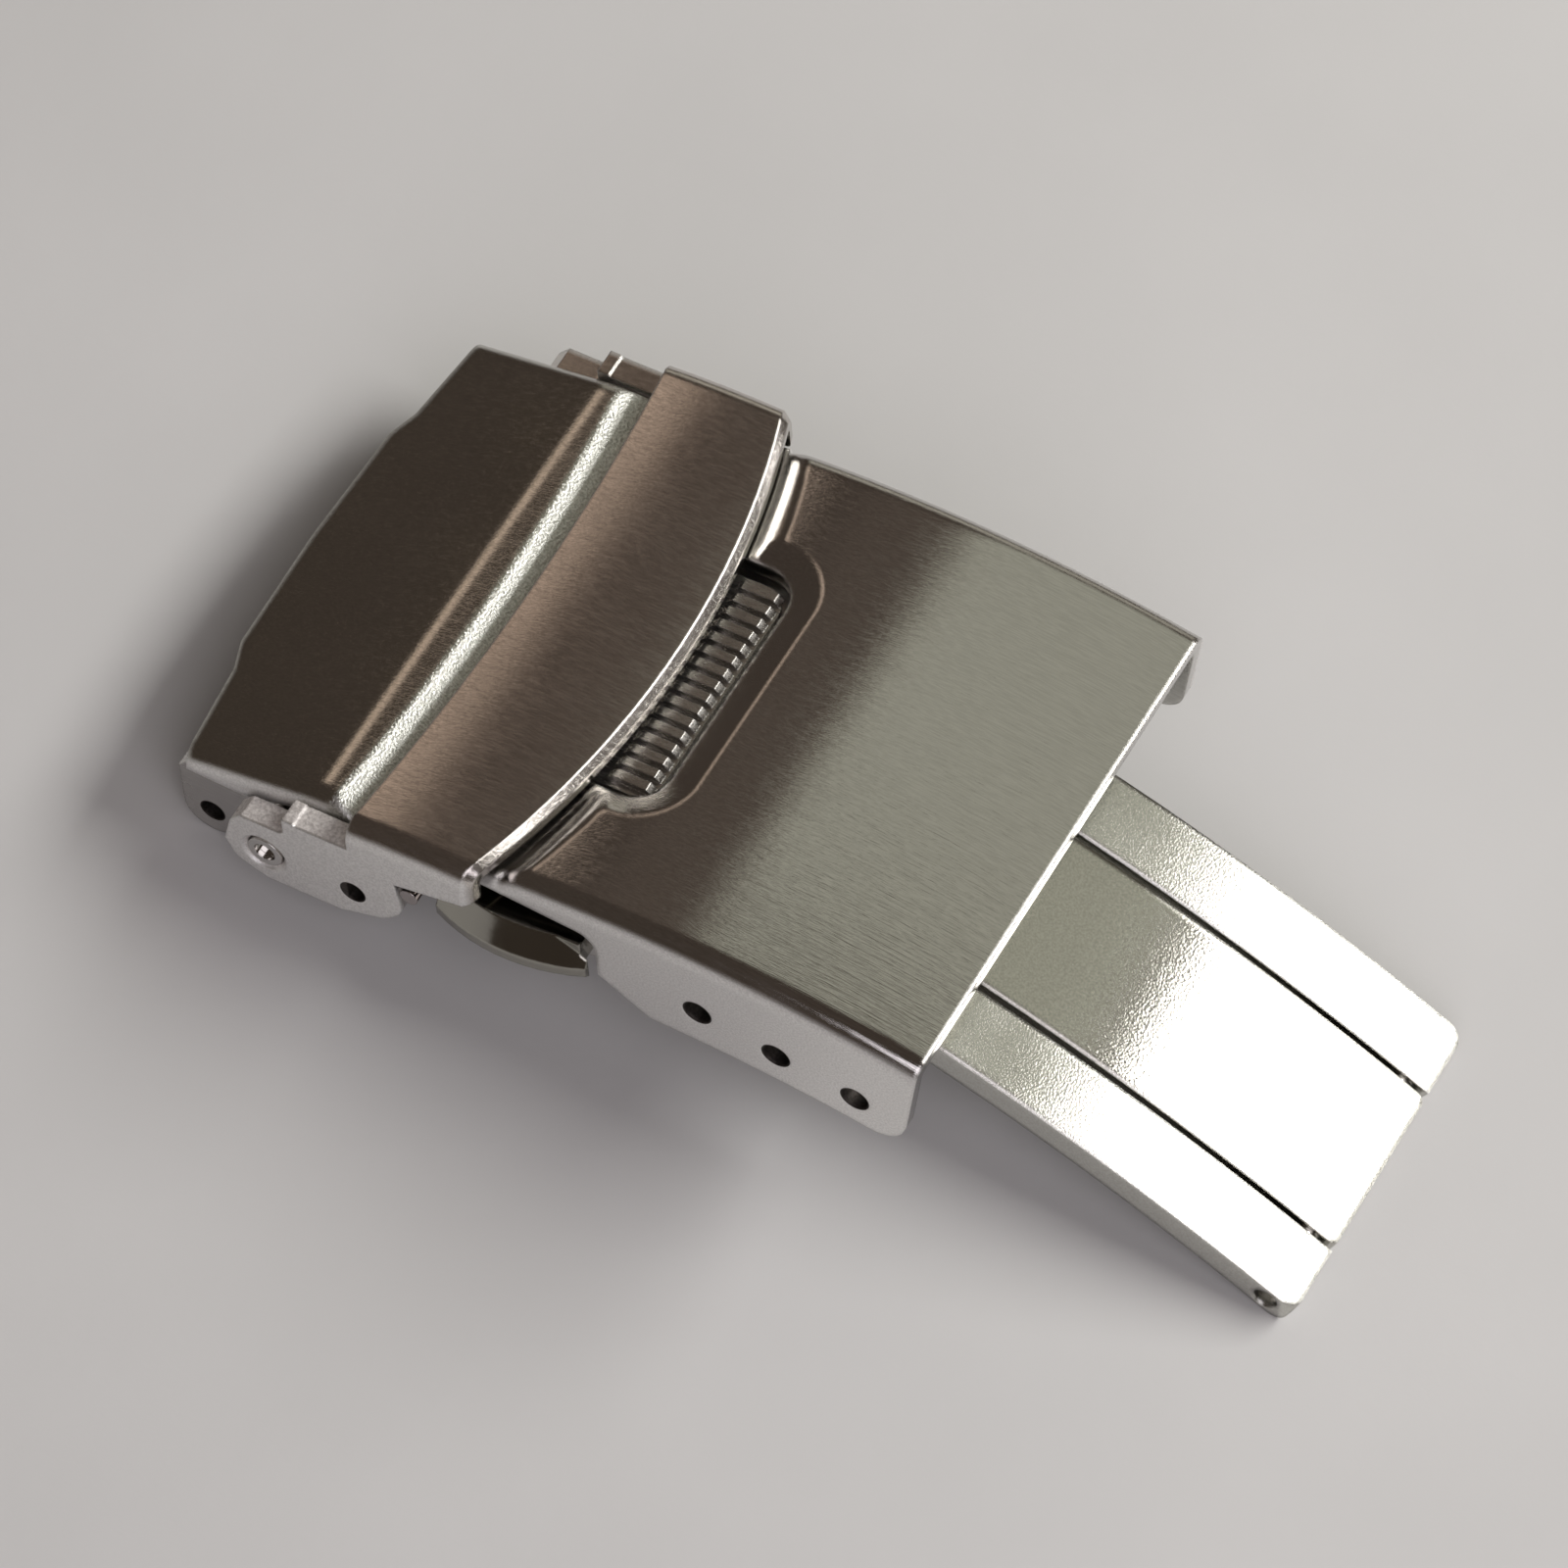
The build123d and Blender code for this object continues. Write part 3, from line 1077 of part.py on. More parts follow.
if __name__ == "__main__":
    os.makedirs("parts", exist_ok=True)
    pieces, offset = place_all(build())
    for name, shape in pieces.items():
        export_step(shape, f"parts/{name}.step")
    print_joint("fork pivot", FORK_PIVOT, offset)
    print_joint("fold pivot", FOLD_PIVOT, offset)
    print_joint("lock pivot", LOCK_PIVOT, offset)
    print_joint("bracelet pin", (LUG_HOLE_X, LUG_HOLE_Z), offset)
    for number, place in enumerate(adjust_hole_places()):
        print_joint(f"adjustment hole {number + 1}", place, offset)
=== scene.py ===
# %% [markdown]
# # A folding bracelet clasp in steel
# The clasp is shut and lies on a pale table. Its parts come ready made from the packed
# model, so this lesson is about finish: how brushed, blasted and polished steel differ,
# and how a room has to be lit for metal to look like metal.

# %% Load the clasp
import json
import math
from collections import namedtuple

import bmesh
import bpy
from mathutils import Matrix, Vector

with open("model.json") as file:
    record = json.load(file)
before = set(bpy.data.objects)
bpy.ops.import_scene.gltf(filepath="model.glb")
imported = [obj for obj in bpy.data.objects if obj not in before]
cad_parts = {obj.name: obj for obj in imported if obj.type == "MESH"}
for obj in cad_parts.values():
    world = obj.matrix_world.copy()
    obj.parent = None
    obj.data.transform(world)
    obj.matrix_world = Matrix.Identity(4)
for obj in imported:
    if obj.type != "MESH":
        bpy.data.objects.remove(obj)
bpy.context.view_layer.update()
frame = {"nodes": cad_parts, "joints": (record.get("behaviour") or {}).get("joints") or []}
nodes = frame["nodes"]
scene = bpy.context.scene
MM = 0.001
print("parts in the clasp:", len(nodes))

# %% [markdown]
# ## The clasp's own upright frame
# The maker draws the clasp with its chord level: X from the bracelet end to the fold end, Y
# across, Z up. It comes to rest tilted, on the bracelet lugs and the blade tips. Areas of a
# part, lamps and the camera are easier to place in the upright frame, so one matrix turns it
# to the resting one. The pivot of the lock, whose place the record gives, ties the two
# frames together.

# %% From the upright frame to the resting frame
TILT = math.radians(-10.5619)
LOCK_PIVOT = Vector((3.47, 0.0, -1.9554)) * MM
joints = {joint["name"]: joint for joint in frame["joints"]}
turn = Matrix.Rotation(TILT, 4, "Y")
shift = Vector(joints["lock_pivot"]["pos_m"]) - turn @ LOCK_PIVOT
to_rest = Matrix.Translation(shift) @ turn
print("shift in mm:", [round(v / MM, 3) for v in shift])

# %% [markdown]
# ## Shader maths in plain Python
# A shader is a graph of nodes, and a sum of two sockets is one Math node. A small class
# wraps a socket, so that such sums are written as Python expressions, also with a plain
# number on the left.

# %% A socket with arithmetic
class Wire:
    """One output of a shader node, with arithmetic."""

    def __init__(self, maker, socket):
        self.maker = maker
        self.socket = socket

    def math(self, operation, *others, clamp=False):
        return self.maker.math(operation, self, *others, clamp=clamp)

    def __add__(self, other):
        return self.math("ADD", other)

    def __sub__(self, other):
        return self.math("SUBTRACT", other)

    def __rsub__(self, other):
        return self.maker.math("SUBTRACT", other, self)

    def __mul__(self, other):
        return self.math("MULTIPLY", other)

    __radd__ = __add__
    __rmul__ = __mul__


print("a wire takes plus, minus and times, on either side")

# %% [markdown]
# ## One way to make any node
# Every other node comes from one method, which takes the node's kind, then its settings, then
# the values or wires of its sockets. A Mix node has several sockets of one name, so those
# that mix colours are told apart by their number.

# %% A maker of nodes
MIX_SHARE, MIX_LOW, MIX_HIGH, MIX_COLOUR = 0, 6, 7, 2


class Maker:
    """Adds nodes to one material."""

    def __init__(self, tree):
        self.tree = tree

    def node(self, kind, settings=None, inputs=(), out=0):
        """A node of any kind: first its settings, then the values or wires of its sockets."""
        new = self.tree.nodes.new("ShaderNode" + kind)
        for name, value in (settings or {}).items():
            setattr(new, name, value)
        pairs = inputs.items() if isinstance(inputs, dict) else enumerate(inputs)
        for name, value in pairs:
            if isinstance(value, Wire):
                self.tree.links.new(value.socket, new.inputs[name])
            else:
                new.inputs[name].default_value = value
        return Wire(self, new.outputs[out]) if new.outputs else None

    def math(self, operation, *values, clamp=False):
        return self.node("Math", {"operation": operation, "use_clamp": clamp}, values)

    def blend(self, share, low, high):
        """Mix of two colours by a share from 0 to 1."""
        sockets = {MIX_SHARE: share, MIX_LOW: low, MIX_HIGH: high}
        return self.node("Mix", {"data_type": "RGBA"}, sockets, MIX_COLOUR)


print("sockets of a colour mix:", (MIX_SHARE, MIX_LOW, MIX_HIGH))

# %% [markdown]
# ## Spans and paints
# A noise seldom leaves the middle of its range, so a span stretches the part that it uses to
# the full range from 0 to 1. A paint gives a colour its fourth value and may darken it.

# %% Stretch a range, darken a colour
def span(value, low, high):
    """Stretch a value so that low gives 0 and high gives 1, and clamp it."""
    return (value - low).math("MULTIPLY", 1.0 / (high - low), clamp=True)


def paint(colour, share=1.0):
    """A colour with its alpha, darkened by a share."""
    return (*(part * share for part in colour), 1)


print("a third of grey 0.6:", [round(part, 2) for part in paint((0.6, 0.6, 0.6), 1 / 3)])

# %% [markdown]
# ## Where a pattern sits
# Every pattern reads Object coordinates, in metres. A Mapping node stretches it for
# scratches, or turns it into the upright frame, where a side wall is simply a large Y.

# %% Place and noise
UNSTRETCHED = (1, 1, 1)


def place(maker, stretch=UNSTRETCHED, turned=(0, 0, 0)):
    """Place on the object, as a pattern reads it."""
    spot = maker.node("TexCoord", out="Object")
    return maker.node("Mapping", {}, {"Vector": spot, "Scale": stretch, "Rotation": turned})


def upright(maker):
    """Place in the upright frame, as wires for X, Y and Z in metres."""
    spot = maker.node("TexCoord", out="Object")
    offset = -(turn.inverted() @ shift)
    sockets = {"Vector": spot, "Location": offset, "Rotation": (0, -TILT, 0)}
    level = maker.node("Mapping", {}, sockets)
    split = maker.node("SeparateXYZ", {}, [level]).socket.node
    return [Wire(maker, socket) for socket in split.outputs]


def noise(maker, spot, scale, detail=2.0, rough=0.5):
    sockets = {"Vector": spot, "Scale": scale, "Detail": detail, "Roughness": rough}
    return maker.node("TexNoise", {}, sockets)


print("tilt of the upright frame in degrees:", round(math.degrees(TILT), 2))

# %% [markdown]
# ## Relief, and the frame of a material
# The parts' edges are sharp in the model, so a Bevel node rounds them a little for the light,
# and a Bump node lays the pattern's height on top. All steel ends in one Principled shader.

# %% Relief, first and last step of a material
EDGE_SAMPLES = 6


def relief(maker, height, strength, distance, edge=0.0):
    """Bump from a height, on edges that are rounded by a radius in mm."""
    sockets = {"Strength": strength, "Distance": distance, "Height": height}
    if edge:
        sockets["Normal"] = maker.node("Bevel", {"samples": EDGE_SAMPLES}, {"Radius": edge * MM})
    return maker.node("Bump", {}, sockets)


def new_material(name):
    material = bpy.data.materials.new(name)
    material.use_nodes = True
    material.node_tree.nodes.clear()
    return material, Maker(material.node_tree)


def finish_material(material, maker, colour, roughness, normal, metallic=1.0):
    """Close a material with one shader."""
    sockets = {"Base Color": colour, "Roughness": roughness, "Metallic": metallic, "Normal": normal}
    shader = maker.node("BsdfPrincipled", {}, sockets)
    maker.node("OutputMaterial", {}, {"Surface": shader})
    print(material.name, "has", len(maker.tree.nodes), "nodes")
    return material


print("edges are rounded with", EDGE_SAMPLES, "samples")

# %% [markdown]
# ## Areas with a look of their own
# The grinding belt never reaches the side walls or the sheared floors of the notches. The
# insides of the holes get painted shade: their dark look stands in for the shadow in them.
# Each such area has a zone, which is a share from 0 to 1 worked out from the place on the
# part, and a look. A zone needs no painted mask, so it stays right when the part's mesh changes.

# %% Looks and zones
Look = namedtuple("Look", "low high grain relief rough metal")
BLASTED = Look((0.68, 0.67, 0.65), (0.84, 0.83, 0.81), 13000.0, 1.6, 0.45, 0.85)
RIDGE = Look((0.5, 0.5, 0.46), (0.84, 0.84, 0.8), 11000.0, 5.0, 0.34, 1.0)
SHEARED = Look((0.55, 0.52, 0.5), (0.86, 0.83, 0.8), 7000.0, 6.0, 0.5, 0.4)
# Painted shade: this dark look stands in for the shadow inside holes.
BORE_SHADE = Look((0.05, 0.045, 0.04), (0.08, 0.07, 0.065), 9000.0, 1.0, 0.6, 1.0)
WALL_STARTS, WALL_FULL = 0.22, 0.08
BORE_SHADE_RIM = 0.04


def wall(half):
    """Zone of the side walls, whose outside lies half the width from the middle, in mm."""
    def share(maker):
        across = upright(maker)[1].math("ABSOLUTE")
        return span(across, (half - WALL_STARTS) * MM, (half - WALL_FULL) * MM)
    return share


def bore_shading(*holes):
    """Zone of painted shade in cross holes, each given by X, Z and radius in mm."""
    def share(maker):
        x, _, z = upright(maker)
        total = 0.0
        for hole_x, hole_z, radius in holes:
            along = x - hole_x * MM
            above = z - hole_z * MM
            reach = along * along + above * above
            total = reach.math("LESS_THAN", ((radius + BORE_SHADE_RIM) * MM) ** 2) + total
        return total
    return share


# The last look is painted shade for the insides of holes.
for kind, look in {"blasted": BLASTED, "ridge": RIDGE, "sheared": SHEARED, "bore_shade": BORE_SHADE}.items():
    print(kind, "steel has grains of", round(1 / look.grain / MM, 3), "mm")

# %% [markdown]
# ## Brushed steel
# A belt grinder leaves thousands of fine scratches in one direction, here along the
# clasp. Stretched noise gives them: its pattern is squeezed across the clasp and drawn out
# along it. A second noise makes some scratches deeper, and a slow one changes the gloss from
# place to place. The scratches go to the bump, and only a little to the roughness, so that
# reflections stay readable but fray at their borders, as on the real clasp. A ready picture
# of scratches would show its repeats; noise never does.

# %% Steel with fine scratches along the clasp
SCRATCHES, SCRATCH_STRETCH = 24000.0, (0.05, 1.0, 1.0)
DEEP_SCRATCHES, DEEP_STRETCH = 9000.0, (0.04, 1.0, 1.0)
FINE_SHARE, DEEP_SHARE = 0.7, 0.3
HANDLING = 180.0
HANDLING_GLOSS, SCRATCH_GLOSS = 0.04, 0.05
SCRATCH_DEPTH = 0.00001
ALONG_CLASP = (0, -TILT, 0)


def brushed_steel(name, tint=(0.6, 0.585, 0.56), rough=0.15, depth=0.5, edge=0.0, areas=()):
    material, maker = new_material(name)
    fine = noise(maker, place(maker, SCRATCH_STRETCH, ALONG_CLASP), SCRATCHES, rough=0.6)
    deep = noise(maker, place(maker, DEEP_STRETCH, ALONG_CLASP), DEEP_SCRATCHES)
    cloud = noise(maker, place(maker), HANDLING)
    height = fine * FINE_SHARE + span(deep, 0.5, 0.75) * DEEP_SHARE
    gloss = span(cloud, 0.35, 0.7) * HANDLING_GLOSS + span(deep, 0.45, 0.62) * SCRATCH_GLOSS
    gloss = gloss + (rough - HANDLING_GLOSS)
    colour = maker.blend(span(fine, 0.38, 0.62), paint(tint, 0.88), paint(tint))
    metal = 1.0
    for zone, look in areas:
        share = zone(maker)
        grain = noise(maker, place(maker), look.grain, rough=0.6)
        speckle = maker.blend(span(grain, 0.35, 0.65), paint(look.low), paint(look.high))
        height = height * (1.0 - share) + grain * look.relief * share
        gloss = gloss * (1.0 - share) + share * look.rough
        colour = maker.blend(share, colour, speckle)
        metal = (1.0 - share) * metal + share * look.metal
    normal = relief(maker, height, depth, SCRATCH_DEPTH, edge)
    return finish_material(material, maker, colour, gloss, normal, metal)


print("fine scratches are about", round(1 / SCRATCHES / MM, 3), "mm apart")

# %% [markdown]
# ## Blasted and satin steel
# The fork is blasted with beads: a grain with no direction, which sparkles. The tongue is
# satin: its grain is coarser but shallower, and has more gloss. So both share one recipe,
# a fine pattern of cells with noise, and differ in its numbers.

# %% Steel with a grain
GRAIN_DEPTH = 0.000012
DUST = 1.3
STAINS = 240.0


def grained_steel(name, tint, rough, grain, depth, edge, cloudy=0.06):
    material, maker = new_material(name)
    cells = maker.node("TexVoronoi", {}, {"Vector": place(maker), "Scale": grain})
    dust = noise(maker, place(maker), grain * DUST, 3.0, 0.6)
    cloud = noise(maker, place(maker), STAINS)
    gloss = span(cloud, 0.35, 0.7) * cloudy + (rough - cloudy / 2)
    colour = maker.blend(span(dust, 0.36, 0.62), paint(tint, 0.82), paint(tint))
    normal = relief(maker, cells * 0.5 + dust * 0.5, depth, GRAIN_DEPTH, edge)
    return finish_material(material, maker, colour, gloss, normal)


print("the stains are about", round(1 / STAINS / MM, 1), "mm wide")

# %% [markdown]
# ## Polished steel
# Push buttons and pins are polished: they show the room like a mirror, with a faint haze of
# handling marks. A perfect mirror would look drawn, so the haze changes both the gloss and the
# colour a little, and a weak swirl bends the reflections.

# %% Steel with a mirror polish
HAZE, HAZE_GLOSS = 700.0, 0.06
SWIRL, SWIRL_STRETCH = 2400.0, (0.2, 1.0, 0.6)
SWIRL_STRENGTH, SWIRL_DEPTH = 0.12, 0.00001


def polished_steel(name, tint=(0.68, 0.665, 0.64), rough=0.07, edge=0.0):
    material, maker = new_material(name)
    haze = noise(maker, place(maker), HAZE, 4.0, 0.6)
    swirl = noise(maker, place(maker, SWIRL_STRETCH), SWIRL)
    gloss = span(haze, 0.4, 0.75) * HAZE_GLOSS + rough
    colour = maker.blend(span(haze, 0.3, 0.7), paint(tint, 0.94), paint(tint))
    normal = relief(maker, swirl, SWIRL_STRENGTH, SWIRL_DEPTH, edge)
    return finish_material(material, maker, colour, gloss, normal)


print("the haze has patches of about", round(1 / HAZE / MM, 1), "mm")

# %% [markdown]
# ## Cover shell
# The cover is bent sheet: ground on top, blasted on its walls. Its spring bar holes get
# painted shade inside, a dark colour that stands in for their shadow. The model has the holes
# already, so only the colour of their insides is worked out, from the same first place, pitch
# and slope that the maker uses.

# %% Dress the cover
COVER_HALF = 10.0
HOLE_X, HOLE_Z, HOLE_RADIUS = 19.4, -1.87, 0.5
HOLE_PITCH, HOLE_SLOPE, HOLES = 2.95, math.radians(10.5), 3
dressed = []


def dress(node, material):
    """Give one of the ready made parts its finish."""
    slots = nodes[node].data.materials
    slots.clear()
    slots.append(material)
    dressed.append(node)


steps = [n * HOLE_PITCH for n in range(HOLES)]
slope_x, slope_z = math.cos(HOLE_SLOPE), math.sin(HOLE_SLOPE)
holes = [(HOLE_X + step * slope_x, HOLE_Z - step * slope_z, HOLE_RADIUS) for step in steps]
# The second zone paints shade into the spring bar holes.
cover_areas = [(wall(COVER_HALF), BLASTED), (bore_shading(*holes), BORE_SHADE)]
dress("cover_shell", brushed_steel("cover_brushed", rough=0.12, edge=0.24, areas=cover_areas))
print("spring bar holes:", [(round(x, 2), round(z, 2)) for x, z, _ in holes])

# %% [markdown]
# ## Lock strap and thumb grip
# The strap is ground along the clasp, too. Its ears are sheared to shape, and the floors of
# the near ear's two notches keep the torn, bright grain of the shear. The ribbed grip under
# its lip is a little duller, because no belt gets between the ribs, and its darker tint is
# painted shade from the lip above it.

# %% Dress the strap and the grip
STRAP_HALF = 10.95
EAR_INSIDE, EAR_OUTSIDE, EAR_RIGHT = -9.9, -10.86, 6.85
EAR_HOLE_X, EAR_HOLE_RADIUS = 6.9, 0.45


def ear_floors(maker):
    """Zone of the floors of the near ear's two notches."""
    x, y, _ = upright(maker)
    outer = y.math("LESS_THAN", EAR_INSIDE * MM)
    inner = y.math("GREATER_THAN", EAR_OUTSIDE * MM)
    return outer * inner * x.math("LESS_THAN", EAR_RIGHT * MM)


ear_hole = (EAR_HOLE_X, LOCK_PIVOT.z / MM, EAR_HOLE_RADIUS)
# The third zone gives the inside of the ear hole painted shade.
strap_areas = [(wall(STRAP_HALF), BLASTED), (ear_floors, SHEARED), (bore_shading(ear_hole), BORE_SHADE)]
strap_steel = brushed_steel("strap_brushed", (0.61, 0.575, 0.54), 0.19, 0.35, 0.12, strap_areas)
dress("lock_strap", strap_steel)
# The grip's darker tint is painted shade from the strap's lip.
dress("thumb_grip", brushed_steel("grip_satin", (0.5, 0.485, 0.46), rough=0.27, edge=0.06))
print("ear hole in mm:", ear_hole)

# %% [markdown]
# ## End cover and end frame
# The end cover is creased across. Its right edge is blasted in a band that follows the
# strap's arc, and grains stray over the band's border. So the zone bends with the square of
# Y, and noise frays it. The crease is soft, which a wider rounding of the edges shows.

# %% Dress the end cover and the end frame
END_HALF = 9.85
BAND_BEND = 6.0
BAND_STARTS, BAND_FULL = 5.95, 6.2
FRAY, FRAY_GRAIN = 0.5, 9000.0
LUG_HOLE = (0.27, -3.7, 0.45)


def ridge_band(maker):
    """Zone of the blasted band at the end cover's right edge."""
    x, y, _ = upright(maker)
    fray = noise(maker, place(maker), FRAY_GRAIN, rough=0.6)
    bent = x + y * y * BAND_BEND + (fray - 0.5) * FRAY * MM
    return span(bent, BAND_STARTS * MM, BAND_FULL * MM)


end_areas = [(wall(END_HALF), BLASTED), (ridge_band, RIDGE)]
end_steel = brushed_steel("end_cover_brushed", (0.56, 0.55, 0.51), 0.11, edge=0.34, areas=end_areas)
# The inside of the lug hole gets painted shade.
lug_areas = [(bore_shading(LUG_HOLE), BORE_SHADE)]
dress("end_cover", end_steel)
dress("end_frame", brushed_steel("end_frame_brushed", rough=0.25, edge=0.1, areas=lug_areas))
print("the band moves left by", round(BAND_BEND * (END_HALF * MM) ** 2 / MM, 2), "mm at the sides")

# %% [markdown]
# ## Fork and tongue
# The two blades lie side by side in one surface, so only their finish tells them apart: the
# fork sparkles, and the tongue is smoother and shows the border of light and dark sharply.

# %% Dress the blades
fork_steel = grained_steel("fork_blasted", (0.64, 0.635, 0.59), 0.16, 12000.0, 0.45, 0.3)
tongue_steel = grained_steel("tongue_satin", (0.6, 0.59, 0.54), 0.1, 9500.0, 0.26, 0.3, 0.01)
dress("outer_blade", fork_steel)
dress("inner_blade", tongue_steel)

# %% [markdown]
# ## Buttons, pins and hidden parts
# The buttons are dark polished steel. Pins and rivets are turned and polished. The housing
# and its plates are hidden while the clasp is shut, but show when it opens, so they get
# a plain ground finish.

# %% Dress the small parts
for side in ("near", "far"):
    button_steel = polished_steel(f"{side}_button_polish", (0.37, 0.36, 0.32), edge=0.1)
    dress(f"push_button_{side}", button_steel)
    dress(f"button_spring_{side}", polished_steel(f"{side}_spring_wire", rough=0.2))
    dress(f"base_plate_{side}", brushed_steel(f"{side}_plate_brushed", rough=0.24, edge=0.06))

turned_parts = {
    "fork_pivot_pins": ("fork_pin_steel", 0.14, 0.05),
    "catch_post": ("catch_post_steel", 0.12, 0.05),
    "lock_pivot_tube": ("pivot_tube_steel", 0.1, 0.05),
    "lock_pivot_pin": ("pivot_pin_steel", 0.1, 0.05),
    "fold_hinge_pin": ("fold_pin_steel", 0.12, 0.05),
    "frame_rivets": ("frame_rivet_steel", 0.16, 0.08),
    "housing_rivets": ("housing_rivet_steel", 0.16, 0.0),
}
for node, (name, rough, edge) in turned_parts.items():
    dress(node, polished_steel(name, rough=rough, edge=edge))
dress("snap_pins", polished_steel("snap_pin_steel", (0.42, 0.38, 0.37), edge=0.05))
dress("latch_housing", brushed_steel("housing_milled", rough=0.3))
print("dressed:", len(dressed), "left bare:", sorted(set(nodes) - set(dressed)))

# %% [markdown]
# ## Table
# A sheet of pale card, just large enough to fill the picture. Beyond it the dim room shows
# in the polished buttons. Its colour is written as it should look. It lies a hair below the
# clasp, so that the two never share a surface.

# %% Make the table
TABLE_HALF = 0.14
TABLE_DROP = 0.00002
CARD_LOW, CARD_HIGH = (0.56, 0.557, 0.547), (0.59, 0.587, 0.577)
FIBRES, MOTTLE = 900.0, 60.0
CARD_ROUGH, FIBRE_STRENGTH, FIBRE_DEPTH = 0.75, 0.25, 0.00004


def card_material():
    material, maker = new_material("table_card")
    fibre = noise(maker, place(maker), FIBRES, 4.0, 0.6)
    mottle = noise(maker, place(maker), MOTTLE, 3.0)
    pale = maker.blend(span(mottle, 0.3, 0.7), paint(CARD_LOW), paint(CARD_HIGH))
    normal = relief(maker, fibre, FIBRE_STRENGTH, FIBRE_DEPTH)
    return finish_material(material, maker, pale, CARD_ROUGH, normal, metallic=0.0)


def make_table():
    mesh = bpy.data.meshes.new("table")
    build = bmesh.new()
    bmesh.ops.create_grid(build, x_segments=1, y_segments=1, size=TABLE_HALF)
    bmesh.ops.translate(build, verts=build.verts, vec=(0, 0, -TABLE_DROP))
    build.to_mesh(mesh)
    build.free()
    mesh.materials.append(card_material())
    table = bpy.data.objects.new("table", mesh)
    scene.collection.objects.link(table)


make_table()
print("table width in mm:", round(2 * TABLE_HALF / MM))

# %% [markdown]
# ## Light
# Metal shows the room, not itself. Each flat face mirrors one direction, so what stands in
# that direction is what the face looks like. The dim warm room makes the left parts dark.

# %% Dim the room
ROOM_COLOUR, ROOM_STRENGTH = (0.3, 0.235, 0.19), 0.23
world = bpy.data.worlds.new("room")
scene.world = world
world.use_nodes = True
room = world.node_tree.nodes["Background"]
room.inputs["Color"].default_value = paint(ROOM_COLOUR)
room.inputs["Strength"].default_value = ROOM_STRENGTH
print("room strength:", ROOM_STRENGTH)

# %% [markdown]
# ## Lamps as cards
# The edges of a lamp draw the borders of light and dark on the clasp. So a lamp here is a
# card, and its place, its aim and the way its top points are given in the upright frame.

# %% A lamp in the shape of a card
def upright_place(*mm):
    """A place of the upright frame, in millimetres, in the resting frame."""
    return to_rest @ (Vector(mm) * MM)


def lit_card(name, stand, aim, top, size, watts, colour):
    """A lamp in the shape of a card, with its stand, aim and top in the upright frame."""
    data = bpy.data.lights.new(name, "AREA")
    data.shape = "RECTANGLE"
    data.size, data.size_y = size
    data.energy = watts
    data.color = colour
    spot = upright_place(*stand)
    behind = (spot - upright_place(*aim)).normalized()
    side = (turn @ Vector(top)).cross(behind).normalized()
    lamp = bpy.data.objects.new(name, data)
    turned = Matrix((side, behind.cross(side), behind)).transposed().to_4x4()
    lamp.matrix_world = Matrix.Translation(spot) @ turned
    scene.collection.objects.link(lamp)
    print(name, "stands", round((spot - upright_place(*aim)).length / MM), "mm from its aim")


print("middle of the clasp in mm:", [round(v / MM, 1) for v in upright_place(15, 0, -2)])

# %% [markdown]
# ## Window and cards
# One window, to the right and behind, lights the blades. A grey card above and to the right
# shows in the falling side of the cover, and its left edge gives the border of light and dark
# there. A warm card on the left shows in the strap's left side and draws a soft line on the
# end cover's crease, and a faint one lifts the brown of the cover. A low card behind lights
# the far edges. The wide soft lamp that keeps the shadow gentle stands in front and to the
# right, where no face or edge of the clasp mirrors it to the camera.

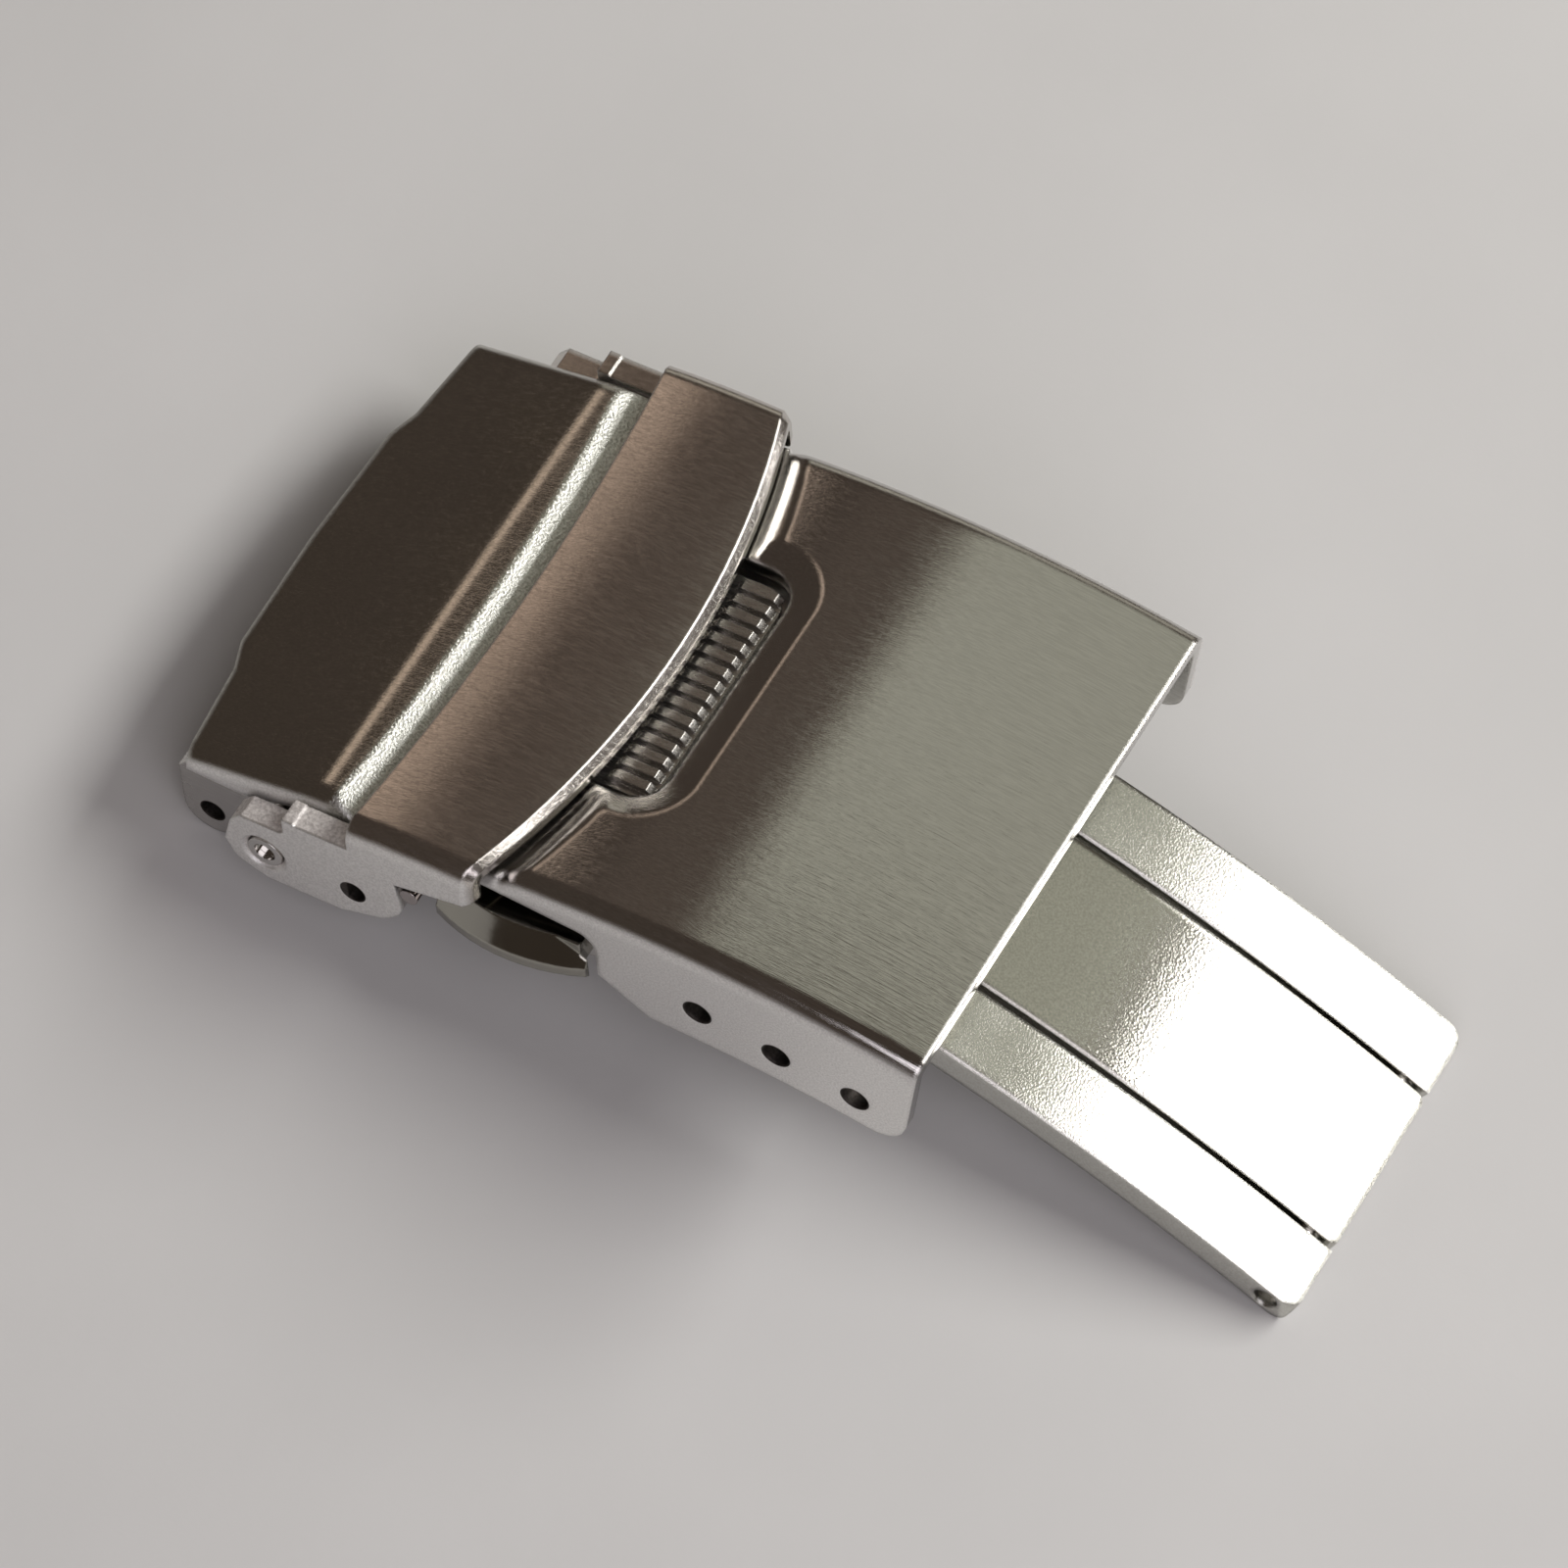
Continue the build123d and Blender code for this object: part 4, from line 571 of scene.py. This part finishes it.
# %% Put up the lamps
lit_card("window", stand=(281, 195, 241), aim=(34, 0, -4), top=(-0.7, 0, 0.71),
         size=(0.37, 0.14), watts=1.5, colour=(1.0, 0.985, 0.96))
lit_card("right_card", stand=(40.75, 71, 86), aim=(40.75, 71, 0), top=(0, 1, 0),
         size=(0.0885, 0.077), watts=0.0083, colour=(0.97, 1.0, 0.85))
lit_card("left_card", stand=(-63.5, 73, 111), aim=(7, 0, 1), top=(0.842, 0, 0.54),
         size=(0.05, 0.021), watts=0.0022, colour=(1.0, 0.78, 0.62))
lit_card("ceiling_glow", stand=(-18, 62, 100), aim=(-18, 62, 0), top=(0, 1, 0),
         size=(0.026, 0.07), watts=0.00022, colour=(1.0, 0.8, 0.66))
lit_card("back_card", stand=(-50, 260, 95), aim=(15, 10, 1), top=(0, 0, 1),
         size=(0.16, 0.09), watts=0.02, colour=(1.0, 0.97, 0.84))
lit_card("fill", stand=(245, -280, 270), aim=(15, 0, 0), top=(0, 0, 1),
         size=(0.4, 0.4), watts=1.0, colour=(0.97, 0.93, 1.0))

# %% [markdown]
# ## Camera
# The camera stands where the photographer stood. Its direction, turn and distance were
# found by matching corners of the clasp, so the numbers below are simply written down. The
# focal length and the shift of the picture are in pixels of the photograph, and Blender
# wants them as parts of the sensor.

# %% Set the camera
AZIMUTH, ELEVATION, ROLL = (math.radians(v) for v in (33.77, 54.11, -5.51))
PICTURE, SENSOR = 1600.0, 36.0
FOCUS, SHIFT_RIGHT, SHIFT_UP = 9771.0, 55.418, -41.943
DISTANCE = 317.946
AIM = Vector((15.0, 0.0, -2.0))
NEAREST = 0.01

away = Vector((math.sin(AZIMUTH), -math.cos(AZIMUTH), 0.0))
back = math.cos(ELEVATION) * away + Vector((0.0, 0.0, math.sin(ELEVATION)))
level = Vector((math.cos(AZIMUTH), math.sin(AZIMUTH), 0.0))
above = back.cross(level)
right = math.cos(ROLL) * level + math.sin(ROLL) * above
up = -math.sin(ROLL) * level + math.cos(ROLL) * above
eye = Matrix.Translation((AIM + back * DISTANCE) * MM)

lens = bpy.data.cameras.new("camera")
lens.sensor_fit = "HORIZONTAL"
lens.sensor_width = SENSOR
lens.lens = SENSOR * FOCUS / PICTURE
lens.shift_x = SHIFT_RIGHT / PICTURE
lens.shift_y = SHIFT_UP / PICTURE
lens.clip_start = NEAREST
camera = bpy.data.objects.new("camera", lens)
camera.matrix_world = to_rest @ eye @ Matrix((right, up, back)).transposed().to_4x4()
scene.collection.objects.link(camera)
scene.camera = camera
scene.view_settings.view_transform = "Standard"
print("focal length in mm:", round(lens.lens, 1))
